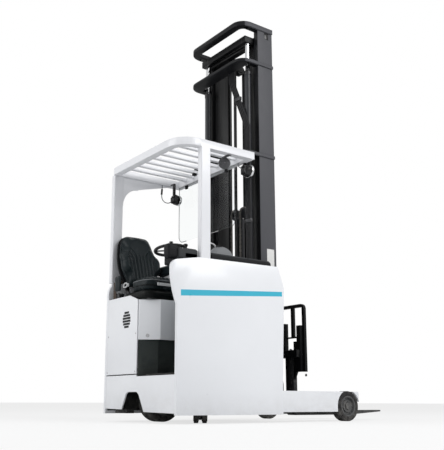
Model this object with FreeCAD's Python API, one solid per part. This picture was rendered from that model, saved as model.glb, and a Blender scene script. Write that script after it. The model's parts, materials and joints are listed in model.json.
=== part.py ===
import FreeCAD, Part
import math
import os

# Sit-on reach truck: side-facing seat, two straddle legs, three-stage mast that rolls forward.
# Millimetres. X runs forward from the body's rear face to the fork tips, Y to the left, Z up
# from the floor. Every solid is moved at export so that the origin lies under the middle of
# the truck's length and width, on the floor.

os.makedirs("parts", exist_ok=True)

# body
body_width = 1100.0
panel_thickness = 30.0
panel_bottom = 62.0
panel_top = 1238.0
panel_front = 1040.0
panel_foot_front = 1005.0
hip_bulge = 63.0
hip_bulge_low = 860.0
hip_bulge_high = 1190.0
left_panel_rear_top = 1190.0
sheet = 12.0
edge_radius = 14.0

# rear end and operator's place
floor_height = 350.0
floor_plate = 15.0
skirt_thickness = 14.0
skirt_bottom_left = 100.0
skirt_bottom_right = 74.0
skirt_gap = 8.0
arch_top = 231.0
entry_edge_y = 34.0
deck_height = 412.0
cover_top = 1000.0
seat_base_bottom = 635.0
seat_base_top = 955.0
seat_base_corner_x = 150.0
seat_base_corner_y = -75.0
lining_setback = 30.0
lining_thickness = 8.0
bulkhead_x = 455.0
slot_count = 6
slot_pitch = 23.0
slot_height = 9.0
slot_longest = 124.0
slot_centre_y = 205.0
slot_centre_z = 806.0

# battery
battery_length = 340.0
battery_width = 1000.0
battery_height = 725.0
battery_gap = 8.0
bed_height = 275.0
bed_thickness = 20.0
front_wall = 8.0
hood_thickness = 14.0
hood_height = 1205.0

# straddle legs and load wheels
leg_width = 120.0
leg_bottom = 80.0
leg_top = 245.0
leg_box_end = 1605.0
leg_end = 1875.0
leg_arm = 25.0
leg_nose_radius = 12.0
channel_start = 575.0
channel_end = 1588.0
channel_depth = 60.0
channel_bottom = 112.0
load_wheel_x = 1748.0
load_wheel_radius = 125.0
load_wheel_width = 90.0
load_hub_radius = 86.0
load_wheel_gap = 7.0
load_axle_radius = 25.0
running_clearance = 0.05
seat_clearance = 0.3
moving_clearance = 5.0

# drive wheel and caster
drive_x = 290.0
drive_y = 142.0
drive_wheel_radius = 165.0
drive_wheel_width = 145.0
drive_hub_radius = 118.0
drive_axle_radius = 30.0
turntable_radius = 90.0
gear_leg_thickness = 42.0
motor_radius = 110.0
motor_height = 330.0
caster_x = 319.0
caster_y = -384.0
caster_trail = 38.0
caster_wheel_radius = 80.0
caster_wheel_width = 42.0
caster_leg = 14.0
caster_leg_gap = 4.0
caster_turn = 55.0
caster_axle_radius = 12.0
caster_stem_radius = 22.0
caster_race_radius = 40.0
caster_mount_z = 262.0

# overhead guard
guard_top = 2180.0
guard_beam = 62.0
guard_front = 745.0
guard_rear_radius = 190.0
right_pillar_x = 250.0
left_pillar_x = 57.0
pillar_depth = 94.0
pillar_width = 52.0
slat_count = 7
slat_width = 34.0
slat_thickness = 24.0

# mast
mast_rear = 935.0
rail_depth = 171.0
rail_web = 16.0
rail_flange = 22.0
rail_width = 55.0
mast_leg_gap = 37.0
stage_step = 10.0
rail_gap = 5.0
mast_foot = 118.0
outer_top = 3435.0
middle_top = 3390.0
inner_top = 3365.0
stage_bottom = 140.0
tie_thickness = 30.0
top_tie_thickness = 45.0
tie_rear = 730.0
tie_band = 70.0
tie_wrap = 12.0
tie_plate_front = 856.0
tie_heights = [3480.0, 3120.0, 2262.0]
tie_corner = 120.0
roller_radius = 50.0
roller_width = 42.0
middle_arm_rear = 840.0
middle_arm_depth = 38.0
middle_arm_drop = 70.0
inner_bar_depth = 58.0
inner_bar_drop = 65.0
reach_stroke = 540.0
stage_stroke = 2400.0
free_stroke = 2500.0

# cylinders, chains and hoses
lift_cylinder_x = 890.0
lift_cylinder_y = 300.0
lift_barrel_radius = 28.0
lift_rod_radius = 20.0
rod_clearance = 0.4
lift_barrel_top = 3050.0
free_barrel_x = 1035.0
free_barrel_radius = 34.0
free_rod_radius = 22.0
free_barrel_top = 1760.0
reach_cylinder_y = -120.0
reach_cylinder_z = 162.0
reach_barrel_radius = 32.0
reach_rod_radius = 18.0
foot_bar_z = 215.0
foot_bar_height = 130.0
reach_barrel_rear = 310.0
reach_barrel_front = 915.0
chain_width = 22.0
chain_thickness = 12.0
chain_y = 62.0
sheave_radius = 48.0
supply_hose_radius = 8.0
supply_hose_pitch = 18.0
supply_hose_x = 845.0
supply_hose_top_y = -125.0
supply_hose_low_y = -345.0
supply_hose_count = 4
lift_hose_radius = 6.0
lift_hose_pitch = 13.0
lift_hose_count = 3
hose_pulley_radius = 45.0
hose_pulley_z = 3215.0

# fork carriage, backrest and forks
fork_face = 1395.0
fork_length = 1065.0
fork_width = 100.0
fork_thickness = 38.0
fork_tip_thickness = 12.0
fork_top = 88.0
fork_centre_y = 250.0
fork_taper = 420.0
shank_top = 590.0
carriage_bar_depth = 40.0
carriage_bar_height = 62.0
carriage_bar_half_width = 385.0
lower_bar_z = 150.0
upper_bar_z = 528.0
lift_plate_y = 160.0
lift_plate_thickness = 24.0
lift_plate_bottom = 132.0
lift_plate_top = 800.0
tilt_pin_radius = 16.0
tilt_pivot_x = 1285.0
tilt_pivot_z = 190.0
tilt_cylinder_rear = 1150.0
tilt_cylinder_front = 1296.0
tilt_cylinder_z = 559.0
tilt_barrel_radius = 24.0
tilt_rod_radius = 13.0
tilt_barrel_length = 84.0
tilt_rod_start = 58.0
tilt_bore_start = 20.0
tilt_eye_pin = 10.0
backrest_half_width = 420.0
backrest_top = 985.0
backrest_bottom = 407.0
backrest_bar = 28.0
backrest_depth = 27.0
backrest_cross_z = 696.0
backrest_cross = 12.0
backrest_stay_y = 270.0
backrest_upright_top = 826.0
backrest_corner = 46.0
backrest_plate = 25.0

# seat and controls
seat_centre_x = 190.0
cushion_width = 372.0
cushion_front_y = -85.0
cushion_rear_y = 236.0
hip_pad_thickness = 38.0
hip_pad_rear_y = 385.0
hip_pad_front_y = 288.0
hip_pad_bottom = 1048.0
hip_pad_top = 1190.0
cushion_bottom = 1032.0
cushion_height = 108.0
back_bottom = 1085.0
back_height = 515.0
back_thickness = 92.0
back_front_y = 241.0
back_lean = 18.0
back_top_width = 330.0
back_shoulder = 0.73
back_wing_inner = 126.0
back_wing_depth = 46.0
back_wing_low = 105.0
back_wing_high = 400.0
wheel_ring_radius = 120.0
wheel_tube_radius = 13.0
steering_x = 97.0
steering_y = -288.0
steering_z = 1312.0
steering_tilt = 9.0
steering_boss_radius = 34.0
steering_boss_drop = 12.0
steering_boss_rise = 18.0
steering_spoke_radius = 8.0
steering_spokes = 3
column_radius = 26.0
column_drop = 60.0
dash_rear_x = 70.0
dash_front_x = 196.0
dash_inner_y = -235.0
dash_bottom = 1196.0
dash_top = 1262.0
cover_rear_x = 20.0
cover_inner_y = -430.0
cover_gap = 9.0
cover_height = 83.0
pod_rear_x = -55.0
pod_front_x = 24.0
pod_outer_y = -505.0
pod_bottom = 1182.0
pod_top = 1315.0
pod_corner = 22.0
console_rear_x = 394.0
console_near_y = -20.0
console_far_y = 330.0
console_top = 1262.0
trim_rear_x = 305.0
trim_front_x = 903.0
trim_width = 107.0
trim_top = 1272.0
dome_x = 512.0
dome_inset = 170.0
dome_radius = 108.0
dome_rise = 62.0

# lamps and horn under the guard
work_lamp_places = [(716.0, -1, 120.0, 2056.0, 58.0), (582.0, 1, 110.0, 1975.0, 48.0)]
lamp_strap = 12.0
lamp_strap_width = 20.0
lamp_length = 80.0
horn_x = 487.0
horn_inset = 95.0
horn_z = 2062.0
horn_radius = 50.0
horn_depth = 34.0
horn_turn = 55.0
horn_strap = 7.0
horn_drop = 12.0
horn_foot = 16.0
horn_foot_inset = 20.0
horn_foot_thickness = 6.0
screen_x = 700.0
screen_thickness = 6.0
screen_right_inset = 210.0
screen_left_inset = 50.0
screen_bottom = 1590.0
screen_corner = 60.0

half_width = body_width / 2
panel_inner_y = half_width - panel_thickness
leg_inner_y = half_width - leg_width
mast_half_width = leg_inner_y - mast_leg_gap
hip_rear = -hip_bulge
fork_tip = fork_face + fork_length
origin_x = (fork_tip + hip_rear) / 2


def box(x0, x1, y0, y1, z0, z1):
    return Part.makeBox(x1 - x0, y1 - y0, z1 - z0, FreeCAD.Vector(x0, y0, z0))


def rod(start, end, radius):
    start = FreeCAD.Vector(*start)
    axis = FreeCAD.Vector(*end) - start
    return Part.makeCylinder(radius, axis.Length, start, axis)


def ring(start, end, outer, inner):
    return rod(start, end, outer).cut(rod(start, end, inner))


def face_of(points):
    vectors = [FreeCAD.Vector(*point) for point in points]
    return Part.Face(Part.makePolygon(vectors + vectors[:1]))


def plate_xz(points, y0, y1):
    # outline in X and Z, thickness along Y
    return face_of([(x, y0, z) for x, z in points]).extrude(FreeCAD.Vector(0, y1 - y0, 0))


def plate_yz(points, x0, x1):
    return face_of([(x0, y, z) for y, z in points]).extrude(FreeCAD.Vector(x1 - x0, 0, 0))


def plate_xy(points, z0, z1):
    return face_of([(x, y, z0) for x, y in points]).extrude(FreeCAD.Vector(0, 0, z1 - z0))


def fuse(shapes):
    joined = shapes[0]
    for shape in shapes[1:]:
        joined = joined.fuse(shape)
    return joined.removeSplitter()


def other_side(shape):
    return shape.mirror(FreeCAD.Vector(0, 0, 0), FreeCAD.Vector(0, 1, 0))


def edges_along(shape, axis, test=None):
    # straight edges that run along one axis, optionally only those that pass the test
    picked = []
    for edge in shape.Edges:
        first = edge.Vertexes[0].Point
        last = edge.Vertexes[-1].Point
        run = last - first
        if len(edge.Vertexes) < 2 or run.Length < 1e-6:
            continue
        if abs(abs(run.normalize()[axis]) - 1) > 1e-6:
            continue
        if test is None or test(edge.CenterOfMass):
            picked.append(edge)
    return picked


def rounded(shape, axis, radius, test=None):
    edges = edges_along(shape, axis, test)
    return shape.makeFillet(radius, edges) if edges else shape


def save(name, shape):
    shape = shape.copy()
    shape.translate(FreeCAD.Vector(-origin_x, 0, 0))
    shape.exportStep("parts/" + name + ".step")


# ---- body ----

def arc_edge(first, middle, last):
    return Part.Arc(FreeCAD.Vector(*first), FreeCAD.Vector(*middle), FreeCAD.Vector(*last)).toShape()


def line_edge(first, last):
    return Part.LineSegment(FreeCAD.Vector(*first), FreeCAD.Vector(*last)).toShape()


def panel_right():
    # thick moulded side; the rear edge swells out into a hip bulge behind the controls
    y = -half_width
    rear = -8.0
    neck = (-hip_bulge * 0.62, y, hip_bulge_low + 0.28 * (hip_bulge_high - hip_bulge_low))
    edges = [
        line_edge((rear, y, panel_bottom), (rear, y, hip_bulge_low)),
        arc_edge((rear, y, hip_bulge_low), neck, (hip_rear, y, 1070.0)),
        line_edge((hip_rear, y, 1070.0), (hip_rear, y, 1130.0)),
        arc_edge((hip_rear, y, 1130.0), (-46.0, y, 1171.0), (-6.0, y, hip_bulge_high)),
        line_edge((-6.0, y, hip_bulge_high), (183.0, y, 1224.0)),
        line_edge((183.0, y, 1224.0), (panel_front - 62.0, y, panel_top)),
        line_edge((panel_front - 62.0, y, panel_top), (panel_front, y, 1066.0)),
        line_edge((panel_front, y, 1066.0), (panel_foot_front, y, 266.0)),
        line_edge((panel_foot_front, y, 266.0), (panel_foot_front, y, panel_bottom)),
        line_edge((panel_foot_front, y, panel_bottom), (rear, y, panel_bottom)),
    ]
    outline = Part.Face(Part.Wire(edges))
    return outline.extrude(FreeCAD.Vector(0, panel_thickness, 0))


def panel_left():
    y = half_width - panel_thickness
    edges = [
        line_edge((0, y, panel_bottom), (0, y, 1010.0)),
        arc_edge((0, y, 1010.0), (26.0, y, 1130.0), (95.0, y, left_panel_rear_top)),
        line_edge((95.0, y, left_panel_rear_top), (183.0, y, 1224.0)),
        line_edge((183.0, y, 1224.0), (panel_front - 62.0, y, panel_top)),
        line_edge((panel_front - 62.0, y, panel_top), (panel_front, y, 1066.0)),
        line_edge((panel_front, y, 1066.0), (panel_foot_front, y, 266.0)),
        line_edge((panel_foot_front, y, 266.0), (panel_foot_front, y, panel_bottom)),
        line_edge((panel_foot_front, y, panel_bottom), (0, y, panel_bottom)),
    ]
    return Part.Face(Part.Wire(edges)).extrude(FreeCAD.Vector(0, panel_thickness, 0))


def rear_skirt():
    outline = [
        (-panel_inner_y, skirt_bottom_right), (-84.0, skirt_bottom_right + 6.0),
        (-4.0, arch_top - 18.0), (24.0, arch_top), (162.0, arch_top), (192.0, arch_top - 18.0),
        (254.0, skirt_bottom_left - 4.0), (panel_inner_y, skirt_bottom_left),
        (panel_inner_y, floor_height + 12.0), (entry_edge_y, floor_height + 12.0),
        (entry_edge_y, floor_height), (-panel_inner_y, floor_height),
    ]
    return plate_yz(outline, 0.0, skirt_thickness)


def grille_slot(number):
    # the slots grow towards the middle of a lozenge
    offset = number - (slot_count - 1) / 2
    length = slot_longest * (1 - 0.62 * (abs(offset) / (slot_count / 2)) ** 2)
    z = slot_centre_z + offset * slot_pitch
    half = length / 2
    return box(-1, sheet + 1, slot_centre_y - half, slot_centre_y + half, z - slot_height / 2,
               z + slot_height / 2)


def rear_cover():
    bottom = floor_height + 12.0 + skirt_gap
    outline = [
        (entry_edge_y, bottom), (panel_inner_y, bottom), (panel_inner_y, cover_top),
        (160.0, cover_top), (entry_edge_y, seat_base_top),
    ]
    cover = plate_yz(outline, 0.0, sheet)
    for number in range(slot_count):
        cover = cover.cut(grille_slot(number))
    return cover


def wall_along(points, thickness, z0, z1):
    # upright sheet whose outer face follows the plan points and whose thickness lies to +Y
    inner = [(x, y + thickness) for x, y in reversed(points)]
    return plate_xy(points + inner, z0, z1)


def seat_base():
    front = [(sheet, entry_edge_y - 7.0), (seat_base_corner_x, seat_base_corner_y),
             (bulkhead_x, seat_base_corner_y)]
    wall = wall_along(front, sheet, seat_base_bottom, seat_base_top)
    top = plate_xy(front + [(bulkhead_x, panel_inner_y), (sheet, panel_inner_y)],
                   seat_base_top - sheet, seat_base_top)
    return fuse([wall, top])


def footwell_lining():
    back = seat_base_corner_y + lining_setback
    inner_x = bulkhead_x - lining_thickness
    front = [(skirt_thickness, entry_edge_y - 9.0), (seat_base_corner_x, back), (inner_x, back)]
    wall = wall_along(front, lining_thickness, floor_height, seat_base_bottom)
    low = box(inner_x, bulkhead_x, seat_base_corner_y, back + lining_thickness, floor_height,
              seat_base_bottom)
    forward = box(inner_x, bulkhead_x, -panel_inner_y, seat_base_corner_y, floor_height, 1120.0)
    return fuse([wall, low, forward])


def chassis_frame():
    floor = box(skirt_thickness, bulkhead_x, -panel_inner_y, entry_edge_y, floor_height - floor_plate,
                floor_height)
    riser = box(skirt_thickness, bulkhead_x, entry_edge_y, entry_edge_y + sheet,
                floor_height - floor_plate,
                deck_height)
    deck = box(skirt_thickness, bulkhead_x, entry_edge_y, panel_inner_y, deck_height - sheet, deck_height)
    deck = deck.cut(rod((drive_x, drive_y, deck_height - 2 * sheet),
                        (drive_x, drive_y, deck_height + sheet), 40.0))
    bulkhead = box(bulkhead_x, bulkhead_x + sheet, -panel_inner_y, panel_inner_y,
                   bed_height - bed_thickness,
                   hood_height - hood_thickness)
    bed = box(bulkhead_x, battery_front(), -panel_inner_y, panel_inner_y, bed_height - bed_thickness,
              bed_height)
    wall = box(battery_front(), battery_front() + front_wall, -panel_inner_y, panel_inner_y,
               bed_height - bed_thickness, 900.0)
    cross = box(bulkhead_x + 30.0, channel_start - 15.0, -leg_inner_y, leg_inner_y, 118.0,
                bed_height - bed_thickness)
    cross = cross.cut(rod((bulkhead_x, reach_cylinder_y, reach_cylinder_z),
                          (channel_start, reach_cylinder_y, reach_cylinder_z), reach_barrel_radius))
    stand = box(40.0, 108.0, 236.0, 416.0, 66.0, 98.0)
    hanger = box(40.0, 64.0, 300.0, 416.0, 98.0, deck_height - sheet)
    stem_boss = ring((caster_x, caster_y, caster_mount_z),
                     (caster_x, caster_y, floor_height - floor_plate),
                     caster_race_radius + 2.0, caster_stem_radius + running_clearance)
    return fuse([floor, riser, deck, bulkhead, bed, wall, cross, stand, hanger, stem_boss])


def battery_rear():
    return bulkhead_x + sheet + battery_gap


def battery_front():
    return battery_rear() + battery_length + battery_gap


def battery():
    return box(battery_rear(), battery_rear() + battery_length, -battery_width / 2, battery_width / 2,
               bed_height, bed_height + battery_height)


def battery_hood():
    top = box(bulkhead_x, battery_front() + front_wall, -panel_inner_y, panel_inner_y,
              hood_height - hood_thickness, hood_height)
    lip = box(battery_front() + front_wall - sheet, battery_front() + front_wall,
              -panel_inner_y, panel_inner_y, 905.0, hood_height - hood_thickness)
    return fuse([top, lip])


def leg():
    rear = box(bulkhead_x, 1010.0, leg_inner_y, panel_inner_y, leg_bottom, leg_top)
    front = box(panel_foot_front, leg_box_end, leg_inner_y, half_width, leg_bottom, leg_top)
    nose = box(leg_box_end, leg_end, leg_inner_y, half_width, leg_bottom, leg_top)
    nose = rounded(nose, 1, leg_nose_radius, lambda p: p.x > leg_end - 1).cut(load_wheel_room())
    whole = fuse([rear, front, nose])
    channel = box(channel_start, channel_end, leg_inner_y - 1, leg_inner_y + channel_depth,
                  channel_bottom,
                  channel_top())
    return whole.cut(channel)


def load_wheel_room():
    # round arch over the wheel, open below the axle
    reach = load_wheel_radius + load_wheel_gap
    y0 = leg_inner_y + leg_arm
    arch = rod((load_wheel_x, y0, load_wheel_radius), (load_wheel_x, half_width + 1, load_wheel_radius),
               reach)
    below = box(load_wheel_x - reach, leg_end + 1, y0, half_width + 1, leg_bottom - 1, load_wheel_radius)
    return arch.fuse(below)


def channel_top():
    return channel_bottom + 2 * roller_radius + 2.0


def load_axle():
    inner = leg_inner_y + leg_arm
    wheel_inner = half_width - 2.0 - load_wheel_width
    shaft = rod((load_wheel_x, inner, load_wheel_radius),
                (load_wheel_x, half_width - 24.0, load_wheel_radius),
                load_axle_radius)
    collar = rod((load_wheel_x, inner, load_wheel_radius),
                 (load_wheel_x, wheel_inner - seat_clearance, load_wheel_radius),
                 load_axle_radius + 12.0)
    return fuse([shaft, collar])


def load_hub():
    y0 = half_width - 2.0 - load_wheel_width
    y1 = half_width - 2.0
    hub = rod((load_wheel_x, y0, load_wheel_radius), (load_wheel_x, y1, load_wheel_radius),
              load_hub_radius)
    bore = rod((load_wheel_x, y0 - 1, load_wheel_radius),
               (load_wheel_x, half_width - 20.0, load_wheel_radius),
               load_axle_radius + running_clearance)
    dish = ring((load_wheel_x, y1 - 14.0, load_wheel_radius), (load_wheel_x, y1 + 1, load_wheel_radius),
                load_hub_radius - 14.0, 40.0)
    return hub.cut(bore).cut(dish)


def tyre(x, y0, y1, radius, bore, shoulder):
    outer = rod((x, y0, radius), (x, y1, radius), radius)
    outer = outer.makeFillet(shoulder, [e for e in outer.Edges if len(e.Vertexes) == 1])
    return outer.cut(rod((x, y0 - 1, radius), (x, y1 + 1, radius), bore))


def load_tyre():
    y0 = half_width - 2.0 - load_wheel_width
    return tyre(load_wheel_x, y0, half_width - 2.0, load_wheel_radius, load_hub_radius, 10.0)


# ---- drive wheel and caster ----

def drive_unit():
    # turntable, gear leg beside the wheel and its stub axle; all turn with the steering
    wheel_left = drive_y + drive_wheel_width / 2
    leg_y0 = wheel_left + moving_clearance + 3.0
    top = deck_height - sheet - seat_clearance
    table_bottom = 2 * drive_wheel_radius + 2 * moving_clearance
    table = rod((drive_x, drive_y, table_bottom), (drive_x, drive_y, top), turntable_radius)
    spindle = rod((drive_x, drive_y, top), (drive_x, drive_y, deck_height - 1.0),
                  40.0 - running_clearance)
    outline = [
        (drive_x - 62.0, drive_wheel_radius - 45.0), (drive_x - 34.0, drive_wheel_radius - 72.0),
        (drive_x + 34.0, drive_wheel_radius - 72.0), (drive_x + 62.0, drive_wheel_radius - 45.0),
        (drive_x + 50.0, table_bottom + 24.0), (drive_x - 50.0, table_bottom + 24.0),
    ]
    gear_leg = plate_xz(outline, leg_y0, leg_y0 + gear_leg_thickness)
    bridge = box(drive_x - 50.0, drive_x + 50.0, drive_y + 40.0, leg_y0 + gear_leg_thickness,
                 table_bottom, table_bottom + 24.0)
    stub = rod((drive_x, drive_y - 40.0, drive_wheel_radius), (drive_x, leg_y0, drive_wheel_radius),
               drive_axle_radius)
    collar = rod((drive_x, wheel_left + seat_clearance, drive_wheel_radius),
                 (drive_x, leg_y0, drive_wheel_radius),
                 drive_axle_radius + 14.0)
    return fuse([table, spindle, gear_leg, bridge, stub, collar])


def drive_hub():
    y0 = drive_y - drive_wheel_width / 2
    y1 = drive_y + drive_wheel_width / 2
    hub = rod((drive_x, y0 + 10.0, drive_wheel_radius), (drive_x, y1, drive_wheel_radius),
              drive_hub_radius)
    bore = rod((drive_x, drive_y - 44.0, drive_wheel_radius), (drive_x, y1 + 1, drive_wheel_radius),
               drive_axle_radius + running_clearance)
    hub = hub.cut(bore)
    return hub


def drive_tyre():
    y0 = drive_y - drive_wheel_width / 2
    return tyre(drive_x, y0, y0 + drive_wheel_width, drive_wheel_radius, drive_hub_radius, 14.0)


def drive_motor():
    return rod((drive_x, drive_y, deck_height), (drive_x, drive_y, deck_height + motor_height),
               motor_radius)


def caster_placed(shape):
    # from straight ahead to the angle at which the truck last stopped
    shape.rotate(FreeCAD.Vector(caster_x, caster_y, 0), FreeCAD.Vector(0, 0, 1), caster_turn)
    return shape


def caster_outer_y():
    return caster_leg / 2 + caster_leg_gap + caster_wheel_width


def caster_fork():
    # one leg between the two wheels, under a ball race
    wheel_x = caster_x + caster_trail
    top = 2 * (caster_wheel_radius + moving_clearance)
    half = caster_leg / 2
    outline = [
        (wheel_x - 22.0, caster_wheel_radius - 22.0), (wheel_x + 22.0, caster_wheel_radius - 22.0),
        (wheel_x + 26.0, caster_wheel_radius + 20.0), (wheel_x + 10.0, top + 10.0),
        (caster_x - 46.0, top + 10.0),
    ]
    leg_plate = plate_xz(outline, caster_y - half, caster_y + half)
    crown = box(caster_x - 46.0, wheel_x + 10.0, caster_y - 40.0, caster_y + 40.0, top, top + sheet)
    race = rod((caster_x, caster_y, top + sheet), (caster_x, caster_y, caster_mount_z - seat_clearance),
               caster_race_radius)
    stem = rod((caster_x, caster_y, top), (caster_x, caster_y, floor_height - floor_plate - 4.0),
               caster_stem_radius)
    reach = caster_outer_y() - 3.0
    axle = rod((wheel_x, caster_y - reach, caster_wheel_radius),
               (wheel_x, caster_y + reach, caster_wheel_radius),
               caster_axle_radius)
    return caster_placed(fuse([leg_plate, crown, race, stem, axle]))


def caster_wheel():
    wheel_x = caster_x + caster_trail
    outer = caster_outer_y()
    pair = []
    for y0 in (caster_y - outer, caster_y + outer - caster_wheel_width):
        pair.append(tyre(wheel_x, y0, y0 + caster_wheel_width, caster_wheel_radius,
                         caster_axle_radius + running_clearance, 8.0))
    return caster_placed(Part.makeCompound(pair))


# ---- overhead guard ----

def guard_frame():
    y = half_width
    z0 = guard_top - guard_beam
    outer = box(0.0, guard_front, -y, y, z0, guard_top)
    outer = rounded(outer, 2, guard_rear_radius, lambda p: p.x < 1 and p.y < 0)
    outer = rounded(outer, 2, 70.0, lambda p: p.x < 1 and p.y > 0)
    inner = box(guard_beam, guard_front - guard_beam, -y + guard_beam, y - guard_beam, z0 - 1,
                guard_top + 1)
    inner = rounded(inner, 2, guard_rear_radius - guard_beam, lambda p: p.x < guard_beam + 1 and p.y < 0)
    frame = outer.cut(inner)
    pillar_inner = y - pillar_width
    right = box(right_pillar_x - pillar_depth / 2, right_pillar_x + pillar_depth / 2, -y, -pillar_inner,
                1180.0, z0)
    right = rounded(right, 2, 12.0).cut(panel_right())
    left = box(left_pillar_x - pillar_depth / 2, left_pillar_x + pillar_depth / 2, pillar_inner, y,
               1150.0, z0)
    left = rounded(left, 2, 12.0).cut(panel_left())
    return fuse([frame, right, left])


def guard_slats():
    slats = []
    z1 = guard_top - 8.0
    span = 2 * (half_width - guard_beam)
    pitch = span / (slat_count + 1)
    for number in range(slat_count):
        y = -half_width + guard_beam + pitch * (number + 1)
        slats.append(box(guard_beam, guard_front - guard_beam, y - slat_width / 2, y + slat_width / 2,
                         z1 - slat_thickness, z1))
    return Part.makeCompound(slats).cut(guard_frame())


# ---- mast ----

def rail_channel(y_outer, x0, z0, z1):
    # C rail, open towards the middle of the truck
    y_tip = y_outer - rail_width
    x1 = x0 + rail_depth
    web = box(x0, x1, y_outer - rail_web, y_outer, z0, z1)
    rear = box(x0, x0 + rail_flange, y_tip, y_outer, z0, z1)
    front = box(x1 - rail_flange, x1, y_tip, y_outer, z0, z1)
    return fuse([web, rear, front])


def rail_beam(y_outer, x0, z0, z1):
    # I rail: the web stands in the middle of two flanges
    y_tip = y_outer - rail_width
    x1 = x0 + rail_depth - stage_step
    middle = (y_outer + y_tip) / 2
    web = box(x0, x1, middle - rail_web / 2, middle + rail_web / 2, z0, z1)
    rear = box(x0, x0 + rail_flange, y_tip, y_outer, z0, z1)
    front = box(x1 - rail_flange, x1, y_tip, y_outer, z0, z1)
    return fuse([web, rear, front])


def stage_outer_y(stage):
    return mast_half_width - stage * (rail_width + rail_gap)


def stage_rear_x(stage):
    return mast_rear + stage * stage_step


def tie_ring(z_top, half, solid_to, thickness):
    # horse-shoe plate that bows back round the cylinders and hoses
    z0 = z_top - thickness
    front = mast_rear + rail_depth
    outer = box(tie_rear, front, -half, half, z0, z_top)
    outer = rounded(outer, 2, tie_corner, lambda p: p.x < tie_rear + 1)
    inner_y = stage_outer_y(1) + rail_gap
    inner = box(solid_to, front + 1, -inner_y, inner_y, z0 - 1, z_top + 1)
    radius = tie_corner - (solid_to - tie_rear)
    if radius > 1:
        inner = rounded(inner, 2, radius, lambda p: p.x < solid_to + 1)
    return outer.cut(inner)


def outer_mast():
    right = rail_channel(mast_half_width, mast_rear, mast_foot, outer_top)
    return Part.makeCompound([right, other_side(right)])


def mast_ties():
    rails = box(mast_rear, mast_rear + rail_depth, -mast_half_width, mast_half_width, mast_foot,
                outer_top)
    top, middle, low = tie_heights
    notch_y = supply_hose_low_y
    notch = box(supply_hose_x - 14.0, tie_plate_front + 1, notch_y - 42.0, notch_y + 42.0,
                low - 2 * tie_thickness, low + 1)
    rings = [
        tie_ring(top, mast_half_width + tie_wrap, tie_rear + tie_band, top_tie_thickness),
        tie_ring(middle, mast_half_width + tie_wrap, tie_plate_front, tie_thickness).cut(rails),
        tie_ring(low, mast_half_width + tie_wrap, tie_plate_front, tie_thickness).cut(rails).cut(notch),
    ]
    return Part.makeCompound(rings)


def stage_depth(stage):
    return rail_depth - (stage_step if stage else 0.0)


def stage_rollers(stage, z):
    # a roller each side, on a pin from this stage's web, that runs between the next rail's flanges
    y = stage_outer_y(stage)
    web_y = y - rail_width / 2
    centre_x = stage_rear_x(stage - 1) + stage_depth(stage - 1) / 2
    radius = stage_depth(stage - 1) / 2 - rail_flange - seat_clearance
    pocket = rail_width - rail_web if stage == 1 else (rail_width - rail_web) / 2
    tip = y + rail_gap + pocket - 3.0
    pair = rod((centre_x, y - 16.0, z), (centre_x, tip, z), radius)
    pair = pair.fuse(rod((centre_x, web_y, z), (centre_x, y, z), 16.0))
    return [pair, other_side(pair)]


def middle_mast():
    y = stage_outer_y(1)
    x0 = stage_rear_x(1)
    rail = rail_beam(y, x0, stage_bottom, middle_top)
    arm_x = middle_arm_rear
    arm_low = middle_top - middle_arm_drop
    arm_high = middle_top - stage_step
    arm = box(arm_x, x0, y - rail_width + 1.0, y - 4.0, arm_low, arm_high)
    back = box(arm_x, arm_x + middle_arm_depth, -(y - 4.0), y - 4.0, arm_low, arm_high)
    foot = box(x0 - 22.0, x0 - 12.0, -(y - 4.0), y - 4.0, foot_bar_z, foot_bar_z + foot_bar_height)
    link = box(x0 - 12.0, x0, y - rail_width + 1.0, y - 4.0, foot_bar_z, foot_bar_z + foot_bar_height)
    parts = [rail, other_side(rail), arm, other_side(arm), back, foot, link, other_side(link)]
    return fuse(parts + stage_rollers(1, 230.0))


def inner_mast():
    y = stage_outer_y(2)
    x0 = stage_rear_x(2)
    rail = rail_beam(y, x0, stage_bottom, inner_top)
    bar_low = inner_top - inner_bar_drop
    top = box(x0 - inner_bar_depth, x0, -(y - 2.0), y - 2.0, bar_low, inner_top - stage_step)
    foot = box(x0 - 12.0, x0, -(y - 2.0), y - 2.0, foot_bar_z, foot_bar_z + foot_bar_height)
    shelf = box(x0, free_barrel_x + 40.0, -50.0, 50.0, foot_bar_z, free_barrel_base())
    ear = box(x0 - 20.0, free_barrel_x + 16.0, 24.0, 32.0, hose_pulley_z - 20.0, bar_low)
    pulley = rod((free_barrel_x, -32.0, hose_pulley_z), (free_barrel_x, 32.0, hose_pulley_z), 14.0)
    drum = rod((free_barrel_x, -24.0, hose_pulley_z), (free_barrel_x, 24.0, hose_pulley_z),
               hose_pulley_radius)
    parts = [rail, other_side(rail), top, foot, shelf, ear, other_side(ear), pulley, drum]
    return fuse(parts + stage_rollers(2, 230.0))


def free_barrel_base():
    return foot_bar_z + 30.0


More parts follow.
